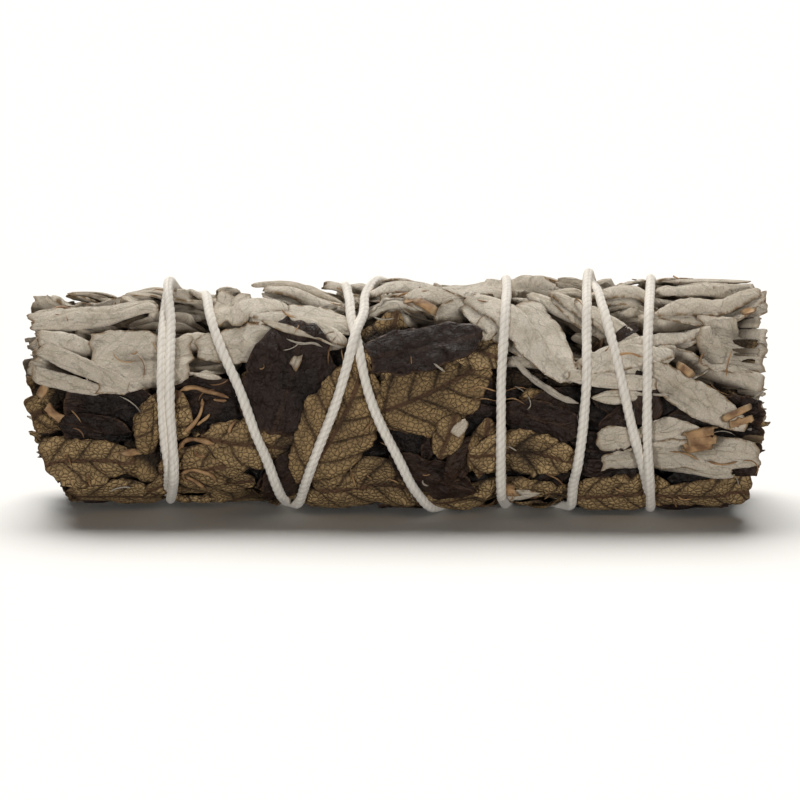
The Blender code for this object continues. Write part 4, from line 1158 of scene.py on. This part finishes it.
def string_radii(course, ground):
    """How far the string's middle lies from the axis: taut over the leaves and over the turns that
    were wound before, which give way where the floor is under them."""
    x, turn = course[:, 0], course[:, 1]
    reach = np.full(len(x), -1e9)
    for shift in (-0.4, 0.0, 0.4):
        height = ground.read(ground.height, x + shift, turn)
        reach = np.maximum(reach, ground.settled(x + shift, turn, height))
    down = downward(turn)
    limit = (AXIS_HEIGHT - STRING_RADIUS - 0.05) / down
    needed = reach + 0.35 * STRING_RADIUS
    radii = np.minimum(taut(needed), limit)
    apart_x = x[:, None] - x[None, :]
    apart_turn = np.radians((turn[:, None] - turn[None, :] + 180) % 360 - 180) * STRING_GIRTH
    apart = np.hypot(apart_x, apart_turn)
    later = np.arange(len(x))[:, None] - np.arange(len(x))[None, :] > STRING_LAP
    touch = 1.75 * STRING_RADIUS
    i, j = np.nonzero(later & (apart < touch))
    clear = np.sqrt(touch**2 - apart[i, j] ** 2)
    above = down[i] < 0.6
    for _ in range(3):
        wanted = needed.copy()
        np.maximum.at(wanted, i[above], radii[j[above]] + clear[above])
        radii = np.minimum(taut(wanted), limit)
    pressed = radii.copy()
    np.minimum.at(pressed, j[~above], radii[i[~above]] - clear[~above])
    return smoothing(len(x), 4) @ pressed


def axes_along(points, hint):
    """Two directions square to a line at each of its points, the first square to the hint too."""
    ahead = unit(np.gradient(points, axis=0))
    sideways = unit(np.cross(ahead, hint))
    return sideways, np.cross(sideways, ahead)


def rings(angle, first, second):
    """Unit circles in the planes of these two directions."""
    cosine, sine = np.cos(angle)[None, :, None], np.sin(angle)[None, :, None]
    return cosine * first[:, None] + sine * second[:, None]


def yarn(points, outward, radius, heap, sides=18, taper=0):
    """A soft three-strand twisted yarn along these points."""
    sideways, upward = axes_along(points, outward)
    run = running(np.linalg.norm(np.diff(points, axis=0), axis=1))
    angle = circle(sides)
    twist = 2 * np.pi * run / STRING_PITCH + 1.5 * noise(run / 7, 0, 3)
    strand = np.abs(np.cos(1.5 * (angle[None, :] - twist[:, None])))
    size = radius * (0.81 + 0.20 * strand**0.7) * (0.94 + 0.16 * noise(run / 1.9, 0, 5)[:, None])
    if taper:
        for where in (run, run[-1] - run):
            size = size * np.maximum(0.35, ramp(where, -0.5 * taper, taper))[:, None]
    uv = np.stack(np.broadcast_arrays(run[:, None] / 10, radius * angle[None, :] / 10), axis=-1)
    valley = 1 - strand
    marks = np.stack([valley, 0 * valley, 1 + 0 * valley, 0 * valley], axis=-1)
    around = size[..., None] * rings(angle, upward, sideways)
    heap.add_tube(points[:, None] + around, uv, marks, None, True)


def tube(points, size, heap, sides, shift=0.0):
    """A plain round fibre along these points."""
    angle = circle(sides)
    around = np.reshape(size, (-1, 1, 1)) * rings(angle, *axes_along(points, [0.31, 0.52, 0.79]))
    run = np.arange(len(points))[:, None] * 0.02 + shift
    uv = np.stack(np.broadcast_arrays(run, angle[None, :] / 20), axis=-1)
    heap.add_tube(points[:, None] + around, uv, None, None, True)


def hair(start, direction, bend, length, radius, heap):
    """A thin fibre that curves away from its root."""
    share = np.linspace(0, 1, 6)[:, None]
    points = start + direction * share * length + bend * share**2 * length
    tube(points, radius * (1 - 0.7 * share), heap, 4)


def binding_string(course, ground, materials):
    """The whole string, its knot and the fuzz that stands off it."""
    radii = string_radii(course, ground)
    side = 0.12 * (noise(np.arange(len(course)) / 24, 0.5, 8) - 0.5)
    points = place(course[:, 0] + side, course[:, 1], radii)
    axis = np.stack([points[:, 0], 0 * radii, AXIS_HEIGHT + 0 * radii], axis=1)
    outward = (points - axis) / radii[:, None]
    heap = Heap()
    yarn(finer(points), finer(outward), STRING_RADIUS, heap, taper=3)
    heap.piece("binding_string_yarn", materials["cotton"], "string", ["binding_string"])
    heap = Heap()
    knot(float(np.median(radii[20:60])) + 0.75, heap)
    fuzz(points, outward, heap)
    heap.piece("binding_string_knot_and_fuzz", materials["cotton"], "string")


def finer(line):
    """A line with its points set closer together."""
    coarse = np.arange(len(line))
    fine = np.arange(0, len(line) - 1, 0.62)
    return np.stack([np.interp(fine, coarse, line[:, k]) for k in range(3)], axis=1)


def knot(reach, heap):
    """An overhand knot, this far from the axis."""
    x, turn = seen_place(KNOT[1], KNOT[0])
    centre = place(x, turn, reach)
    out = (centre - [x, 0, AXIS_HEIGHT]) / reach
    along = np.array([1.0, 0, 0])
    around = np.cross(out, along)
    t = np.linspace(0, 2 * np.pi, 120)
    shape = np.stack([np.sin(t) + 2 * np.sin(2 * t), np.cos(t) - 2 * np.cos(2 * t), -np.sin(3 * t)])
    loop = centre + 0.58 * shape[0][:, None] * along + 0.58 * shape[1][:, None] * around
    loop = loop + 0.7 * shape[2][:, None] * out
    yarn(loop, np.tile(out, (120, 1)) + 0.01 * loop, STRING_RADIUS * 0.95, heap)


def fuzz(points, outward, heap):
    """Fine hairs all along the string, and a tuft at each of its ends."""
    draw = np.random.default_rng(7)
    for _ in range(FUZZ_HAIRS):
        k = draw.integers(5, len(points) - 5)
        ahead = points[k + 1] - points[k - 1]
        ahead /= np.linalg.norm(ahead)
        away = outward[k] * draw.uniform(0.2, 1) + np.cross(outward[k], ahead) * draw.uniform(-1, 1)
        away /= np.linalg.norm(away)
        lean = ahead * draw.uniform(-1.2, 1.2)
        start = points[k] + away * STRING_RADIUS * 0.85
        if start[2] < 1.5:
            continue
        hair(start, 0.5 * away + lean, -0.25 * away + 0.3 * lean, draw.uniform(0.5, 1.7), 0.018, heap)
    for end, inside in ((0, 1), (-1, -2)):
        ahead = points[end] - points[inside]
        ahead /= np.linalg.norm(ahead)
        for _ in range(TUFT_HAIRS):
            spread = draw.normal(0, 0.35, 3)
            start = points[end] + 0.3 * spread
            hair(start, ahead + 0.7 * spread, 0.5 * spread, draw.uniform(1, 2.4), 0.03, heap)


# Materials.
class Nodes:
    """Short ways to write a material's nodes."""

    def __init__(self, tree):
        self.tree = tree

    def add(self, kind, **values):
        node = self.tree.nodes.new(kind)
        for key, value in values.items():
            setattr(node, key, value)
        return node

    def link(self, source, target):
        self.tree.links.new(source, target)

    def put(self, socket, value):
        if isinstance(value, bpy.types.NodeSocket):
            self.link(value, socket)
        else:
            socket.default_value = value

    def math(self, operation, a, b=0.0):
        node = self.add("ShaderNodeMath", operation=operation)
        self.put(node.inputs[0], a)
        self.put(node.inputs[1], b)
        return node.outputs[0]

    def mix(self, factor, a, b, blend="MIX"):
        node = self.add("ShaderNodeMix", data_type="RGBA", blend_type=blend)
        self.put(node.inputs[0], factor)
        self.put(node.inputs[6], a)
        self.put(node.inputs[7], b)
        return node.outputs[2]

    def over(self, base, mask, share, colour):
        """The base with this colour over it, by a share of the mask."""
        return self.mix(self.math("MULTIPLY", mask, share), base, colour)

    def ramp(self, value, low, high, to_low=0.0, to_high=1.0):
        node = self.add("ShaderNodeMapRange", clamp=True)
        node.interpolation_type = "SMOOTHSTEP"
        self.put(node.inputs[0], value)
        node.inputs[1].default_value = low
        node.inputs[2].default_value = high
        node.inputs[3].default_value = to_low
        node.inputs[4].default_value = to_high
        return node.outputs[0]

    def noise(self, vector, scale, detail=3.0, roughness=0.55):
        node = self.add("ShaderNodeTexNoise")
        self.link(vector, node.inputs["Vector"])
        node.inputs["Scale"].default_value = scale
        node.inputs["Detail"].default_value = detail
        node.inputs["Roughness"].default_value = roughness
        return node.outputs["Fac"]

    def cells(self, vector, scale):
        """Distance to the border between uneven cells, in cells."""
        node = self.add("ShaderNodeTexVoronoi", feature="DISTANCE_TO_EDGE", voronoi_dimensions="2D")
        self.link(vector, node.inputs["Vector"])
        node.inputs["Scale"].default_value = scale
        return node.outputs["Distance"]

    def stretched(self, scale, turn=0.0):
        """The leaf's UV, stretched across and turned."""
        node = self.add("ShaderNodeMapping")
        self.link(self.uv(), node.inputs["Vector"])
        node.inputs["Scale"].default_value = (1.0, scale, 1.0)
        node.inputs["Rotation"].default_value = (0, 0, turn)
        return node.outputs[0]

    def attribute(self, name):
        """The four values of one of the mesh's attributes."""
        node = self.add("ShaderNodeAttribute", attribute_name=name)
        split = self.add("ShaderNodeSeparateColor")
        self.link(node.outputs["Color"], split.inputs[0])
        return (*split.outputs, node.outputs["Alpha"])

    def uv(self):
        return self.add("ShaderNodeUVMap", uv_map="leaf").outputs[0]

    def place(self):
        return self.add("ShaderNodeTexCoord").outputs["Object"]


def rgb(red, green, blue):
    return (red, green, blue, 1.0)


def new_material(name):
    made = bpy.data.materials.new(name)
    made.use_nodes = True
    return made, Nodes(made.node_tree), made.node_tree.nodes["Principled BSDF"]


def group(name, inputs, outputs):
    tree = bpy.data.node_groups.new(name, "ShaderNodeTree")
    for label, kind, value in inputs:
        socket = tree.interface.new_socket(label, in_out="INPUT", socket_type=kind)
        socket.default_value = value
    for label, kind in outputs:
        tree.interface.new_socket(label, in_out="OUTPUT", socket_type=kind)
    nodes = Nodes(tree)
    return tree, nodes, nodes.add("NodeGroupInput"), nodes.add("NodeGroupOutput")


def dry_leaf_group():
    """Colour shared by all the leaves: blotches, brown margins and cuts, and painted shade in the
    crevices.
    """
    tree, n, given, made = group(
        "dry_leaf",
        (
            ("Colour", "NodeSocketColor", rgb(0.5, 0.5, 0.4)),
            ("Blotch", "NodeSocketColor", rgb(0.4, 0.35, 0.25)),
            ("Margin", "NodeSocketColor", rgb(0.3, 0.2, 0.1)),
            ("Painted_shade", "NodeSocketColor", rgb(0.2, 0.15, 0.1)),
            ("Blotches", "NodeSocketFloat", 0.5),
            ("Painted_shade_share", "NodeSocketFloat", 0.5),
        ),
        (("Colour", "NodeSocketColor"), ("Nap", "NodeSocketFloat"), ("Crease", "NodeSocketFloat")),
    )
    uv = n.uv()
    _, _, margin, cut = n.attribute("marks")
    _, hollow, _, sunk_shade = n.attribute("tint")
    waves = n.noise(n.stretched(2.4), 2.6, 3.0, 0.5)
    crease = n.ramp(n.math("ABSOLUTE", n.math("SUBTRACT", waves, 0.5)), 0.016, 0.0)
    n.link(crease, made.inputs["Crease"])
    blotch = n.math("MULTIPLY", n.ramp(n.noise(uv, 4.2, 4.0), 0.42, 0.72), given.outputs["Blotches"])
    colour = n.mix(blotch, given.outputs["Colour"], given.outputs["Blotch"])
    edge = n.math("MULTIPLY", n.ramp(margin, 0.40, 0.05), n.ramp(n.noise(uv, 8.0), 0.40, 0.60))
    edge = n.math("MAXIMUM", edge, n.math("MULTIPLY", cut, 0.7))
    colour = n.mix(edge, colour, given.outputs["Margin"])
    # Painted shade: the hollows, the places that lie deeper than those round them, and the fine creases
    # darken towards the painted shade colour.
    deep = n.math("MULTIPLY", n.ramp(hollow, 0.40, 0.95), given.outputs["Painted_shade_share"])
    deep = n.math("MAXIMUM", deep, n.math("MULTIPLY", sunk_shade, 0.92))
    colour = n.mix(deep, colour, given.outputs["Painted_shade"])
    colour = n.over(colour, crease, 0.09, given.outputs["Painted_shade"])
    shade = n.ramp(n.noise(uv, 42.0, 4.0, 0.7), 0.25, 0.75, 0.80, 1.16)
    grey = n.add("ShaderNodeCombineColor")
    for k in range(3):
        n.link(shade, grey.inputs[k])
    n.link(n.mix(1.0, colour, grey.outputs[0], "MULTIPLY"), made.inputs["Colour"])
    n.link(n.noise(uv, 62.0, 3.0, 0.65), made.inputs["Nap"])
    return tree


def leaf_shader(n, shared, base, *values):
    """The shared leaf colour over this base, with values for the group's other inputs."""
    leaf = n.add("ShaderNodeGroup", node_tree=shared)
    n.link(base, leaf.inputs["Colour"])
    for name, value in zip(("Blotch", "Margin", "Painted_shade", "Blotches", "Painted_shade_share"), values):
        leaf.inputs[name].default_value = value
    return leaf


def surface(n, shader, colour, roughness, specular=None, sheen=None):
    """The shader's colour, roughness, gloss and sheen."""
    n.link(colour, shader.inputs["Base Color"])
    n.put(shader.inputs["Roughness"], roughness)
    if specular is not None:
        shader.inputs["Specular IOR Level"].default_value = specular
    if sheen is not None:
        shader.inputs["Sheen Weight"].default_value = sheen
        shader.inputs["Sheen Roughness"].default_value = 0.5


def bump(n, shader, height, distance):
    node = n.add("ShaderNodeBump")
    node.inputs["Distance"].default_value = distance * MM
    node.inputs["Strength"].default_value = 1.0
    n.link(height, node.inputs["Height"])
    n.link(node.outputs[0], shader.inputs["Normal"])


def creased_bump(n, shader, leaf, height, distance):
    """A bump of this height, less the leaf's fine creases."""
    crease = n.math("MULTIPLY", leaf.outputs["Crease"], 0.7)
    bump(n, shader, n.math("SUBTRACT", height, crease), distance)


def ribs(n):
    """The midrib and the side ribs of a leaf, from 0 to 1."""
    phase, across, _, _ = n.attribute("marks")
    midrib = n.ramp(n.math("ABSOLUTE", across), 0.46, 0.20)
    side = n.ramp(n.math("PINGPONG", phase, 0.5), 0.075, 0.028)
    return midrib, side


def sage_material(shared):
    made, n, shader = new_material("sage_felt")
    tone, *_ = n.attribute("tint")
    uv = n.uv()
    midrib, side = ribs(n)
    base = n.mix(tone, rgb(0.70, 0.63, 0.53), rgb(0.55, 0.48, 0.385))
    base = n.over(base, midrib, 0.30, rgb(0.58, 0.50, 0.37))
    base = n.over(base, side, 0.16, rgb(0.30, 0.25, 0.17))
    speck = n.ramp(n.noise(uv, 26.0, 3.0), 0.64, 0.72)
    base = n.over(base, speck, 0.5, rgb(0.27, 0.19, 0.105))
    # The third colour and the last share set the painted shade in the crevices.
    leaf = leaf_shader(n, shared, base, rgb(0.44, 0.375, 0.275), rgb(0.25, 0.165, 0.085),
                       rgb(0.080, 0.056, 0.034), 0.6, 0.85)
    surface(n, shader, leaf.outputs["Colour"], 0.94, 0.15, 0.12)
    height = n.math("SUBTRACT", leaf.outputs["Nap"], n.math("MULTIPLY", side, 0.5))
    height = n.math("ADD", height, n.math("MULTIPLY", n.noise(uv, 9.0, 3.0), 2.4))
    creased_bump(n, shader, leaf, height, 0.12)
    return made


def net_material(shared):
    made, n, shader = new_material("net_veined_leaf")
    tone, _, lobe, _ = n.attribute("tint")
    uv = n.uv()
    midrib, side = ribs(n)
    wide = n.cells(uv, 14.5)
    net = n.ramp(wide, 0.115, 0.03)
    fine = n.math("MULTIPLY", n.ramp(n.cells(uv, 27.0), 0.12, 0.03), 0.35)
    base = n.mix(tone, rgb(0.58, 0.40, 0.195), rgb(0.38, 0.25, 0.115))
    # Painted shade in the grooves along the ribs, between the bulging lobes.
    base = n.over(base, n.math("SUBTRACT", 1.0, lobe), 0.45, rgb(0.13, 0.082, 0.04))
    base = n.over(base, n.math("MAXIMUM", net, fine), 0.88, rgb(0.052, 0.030, 0.015))
    base = n.over(base, side, 0.75, rgb(0.060, 0.034, 0.018))
    base = n.over(base, midrib, 0.85, rgb(0.105, 0.052, 0.028))
    # The third colour and the last share set the painted shade in the crevices.
    leaf = leaf_shader(n, shared, base, rgb(0.11, 0.068, 0.034), rgb(0.13, 0.072, 0.032),
                       rgb(0.016, 0.010, 0.007), 0.45, 0.65)
    surface(n, shader, leaf.outputs["Colour"], 0.75, 0.25)
    height = n.math("ADD", n.ramp(wide, 0.0, 0.38), n.math("MULTIPLY", leaf.outputs["Nap"], 0.5))
    height = n.math("SUBTRACT", height, n.math("MULTIPLY", side, 0.6))
    creased_bump(n, shader, leaf, height, 0.18)
    return made


def dark_material(shared):
    made, n, shader = new_material("dark_leaf_upper_side")
    tone, *_ = n.attribute("tint")
    uv = n.uv()
    midrib, side = ribs(n)
    base = n.mix(tone, rgb(0.022, 0.0110, 0.0074), rgb(0.038, 0.0180, 0.0100))
    base = n.over(base, side, 0.15, rgb(0.012, 0.008, 0.006))
    base = n.over(base, midrib, 0.35, rgb(0.075, 0.038, 0.022))
    # A painted sheen: lighter, cooler patches laid over the dark leaf.
    painted_sheen = n.ramp(n.noise(uv, 5.5, 5.0), 0.5, 0.75)
    base = n.over(base, painted_sheen, 0.24, rgb(0.075, 0.050, 0.040))
    speck = n.ramp(n.noise(uv, 55.0, 2.0), 0.69, 0.74)
    base = n.over(base, speck, 0.7, rgb(0.22, 0.16, 0.10))
    # The third colour and the last share set the painted shade in the crevices.
    leaf = leaf_shader(n, shared, base, rgb(0.020, 0.013, 0.010), rgb(0.085, 0.046, 0.024),
                       rgb(0.007, 0.005, 0.004), 0.6, 0.6)
    worn = n.ramp(n.noise(uv, 12.0), 0.3, 0.7, 0.40, 0.66)
    surface(n, shader, leaf.outputs["Colour"], worn, 0.30)
    folds = n.math("MULTIPLY", n.noise(uv, 7.0, 5.0), 4.5)
    height = n.math("ADD", n.math("MULTIPLY", side, -0.2), folds)
    creased_bump(n, shader, leaf, height, 0.26)
    return made


def bed_material():
    made, n, shader = new_material("packed_crumbs")
    where = n.place()
    coarse = n.ramp(n.noise(where, 600.0, 4.0), 0.35, 0.7)
    base = n.mix(coarse, rgb(0.03, 0.021, 0.014), rgb(0.13, 0.095, 0.055))
    surface(n, shader, base, 0.95)
    bump(n, shader, n.noise(where, 1800.0, 4.0), 0.3)
    return made


def stem_material():
    """Bark on the side, and on a cut face pale wood with darker rings round the pith, with painted
    shade deeper in.
    """
    made, n, shader = new_material("cut_woody_stem")
    share, face, _, _ = n.attribute("marks")
    _, _, _, sunk_shade = n.attribute("tint")
    grain = n.noise(n.stretched(9.0), 14.0, 5.0)
    bark = n.mix(grain, rgb(0.12, 0.075, 0.04), rgb(0.34, 0.24, 0.13))
    wood = n.mix(n.noise(n.place(), 2600.0, 4.0), rgb(0.50, 0.36, 0.19), rgb(0.27, 0.17, 0.085))
    wood = n.mix(n.ramp(share, 0.36, 0.28), wood, rgb(0.30, 0.21, 0.12))
    wood = n.mix(n.ramp(share, 0.84, 0.97), wood, rgb(0.14, 0.085, 0.04))
    base = n.mix(face, bark, wood)
    # Painted shade, darker the further the stem goes into the end.
    base = n.over(base, sunk_shade, 0.9, rgb(0.03, 0.018, 0.012))
    surface(n, shader, base, 0.85)
    bump(n, shader, grain, 0.12)
    return made


def cotton_material():
    made, n, shader = new_material("cotton_yarn")
    valley, *_ = n.attribute("marks")
    fibre = n.noise(n.stretched(5.0, 0.9), 30.0, 4.0)
    base = n.mix(fibre, rgb(0.90, 0.82, 0.71), rgb(1.0, 0.965, 0.89))
    # Painted shade in the grooves between the yarn's strands.
    base = n.mix(n.ramp(valley, 0.30, 1.0, 0.0, 0.34), base, rgb(0.47, 0.38, 0.27))
    surface(n, shader, base, 0.95, 0.15, 0.3)
    bump(n, shader, fibre, 0.10)
    return made


def straw_material():
    made, n, shader = new_material("dry_straw")
    where = n.place()
    mottle = n.ramp(n.noise(where, 500.0, 4.0), 0.35, 0.65)
    base = n.mix(mottle, rgb(0.17, 0.086, 0.038), rgb(0.45, 0.27, 0.125))
    _, _, _, sunk_shade = n.attribute("tint")
    _, _, margin, cut = n.attribute("marks")
    base = n.over(base, cut, 0.5, rgb(0.55, 0.42, 0.24))
    base = n.mix(n.ramp(margin, 0.30, 0.05, 0.0, 0.7), base, rgb(0.11, 0.055, 0.022))
    # Painted shade where the straw lies deeper than what is round it.
    base = n.over(base, sunk_shade, 0.85, rgb(0.05, 0.025, 0.012))
    surface(n, shader, base, 0.7)
    bump(n, shader, n.noise(where, 3000.0, 3.0), 0.06)
    return made


# Studio.
def studio_floor():
    """White paper, darker to the light it throws back than to the camera."""
    bpy.ops.object.select_all(action="DESELECT")
    bpy.ops.mesh.primitive_plane_add(size=6.0, location=(0, 1.2, 0))
    floor = bpy.context.object
    floor.name = "studio_floor"
    made, n, shader = new_material("white_paper")
    seen = n.add("ShaderNodeLightPath").outputs["Is Camera Ray"]
    surface(n, shader, n.mix(seen, rgb(0.28, 0.27, 0.26), rgb(0.93, 0.92, 0.90)), 0.9, 0.0)
    floor.data.materials.append(made)


def studio_light():
    """A soft light from above, two level ones from the front, and a background that is white only
    to the camera."""
    scene = bpy.context.scene
    world = bpy.data.worlds.new("studio")
    scene.world = world
    world.use_nodes = True
    n = Nodes(world.node_tree)
    background = world.node_tree.nodes["Background"]
    seen = n.add("ShaderNodeLightPath").outputs["Is Camera Ray"]
    n.link(n.mix(seen, rgb(0.045, 0.044, 0.042), rgb(1.15, 1.15, 1.15)), background.inputs["Color"])

    for name, energy, angle, aim in (
        ("overhead_softbox", 3.95, 50, (0.1, -0.60, -1.0)),
        ("left_fill", 1.55, 12, (0.6, 1.0, -0.03)),
        ("right_fill", 1.55, 12, (-0.6, 1.0, -0.03)),
    ):
        lamp = bpy.data.lights.new(name, "SUN")
        lamp.energy = energy
        lamp.angle = math.radians(angle)
        lamp.color = (1.0, 0.985, 0.96)
        holder = bpy.data.objects.new(name, lamp)
        scene.collection.objects.link(holder)
        holder.rotation_euler = Vector(aim).to_track_quat("-Z", "Y").to_euler()


def studio_camera():
    scene = bpy.context.scene
    camera = bpy.data.cameras.new("camera")
    holder = bpy.data.objects.new("camera", camera)
    scene.collection.objects.link(holder)
    tilt = math.radians(CAMERA_ELEVATION)
    back = Vector((0, -math.cos(tilt), math.sin(tilt)))
    holder.location = Vector(AIM) * MM + back * CAMERA_DISTANCE * MM
    holder.rotation_euler = (-back).to_track_quat("-Z", "Y").to_euler()
    camera.sensor_width = SENSOR_WIDTH
    camera.lens = SENSOR_WIDTH * CAMERA_DISTANCE / VIEW_WIDTH
    camera.clip_start = 0.01
    scene.camera = holder
    scene.view_settings.view_transform = "Standard"
    scene.view_settings.look = "None"


def main():
    bpy.ops.object.select_all(action="DESELECT")
    shared = dry_leaf_group()
    materials = {
        SAGE: sage_material(shared),
        NET: net_material(shared),
        DARK: dark_material(shared),
        "bed": bed_material(),
        "stem": stem_material(),
        "cotton": cotton_material(),
        STRAW: straw_material(),
    }
    course = string_course()
    ground = Ground(course)
    leafy_sprigs(ground, materials)
    packed = packed_bed(ground)
    packed.piece("packed_crumbs", materials["bed"], "stem", [f"inner_sprig_{i}" for i in range(1, 8)])
    loose_fibres(ground, materials)
    cut_end(-1, "left", materials)
    cut_end(1, "right", materials)
    binding_string(course, ground, materials)
    studio_floor()
    studio_light()
    studio_camera()


main()
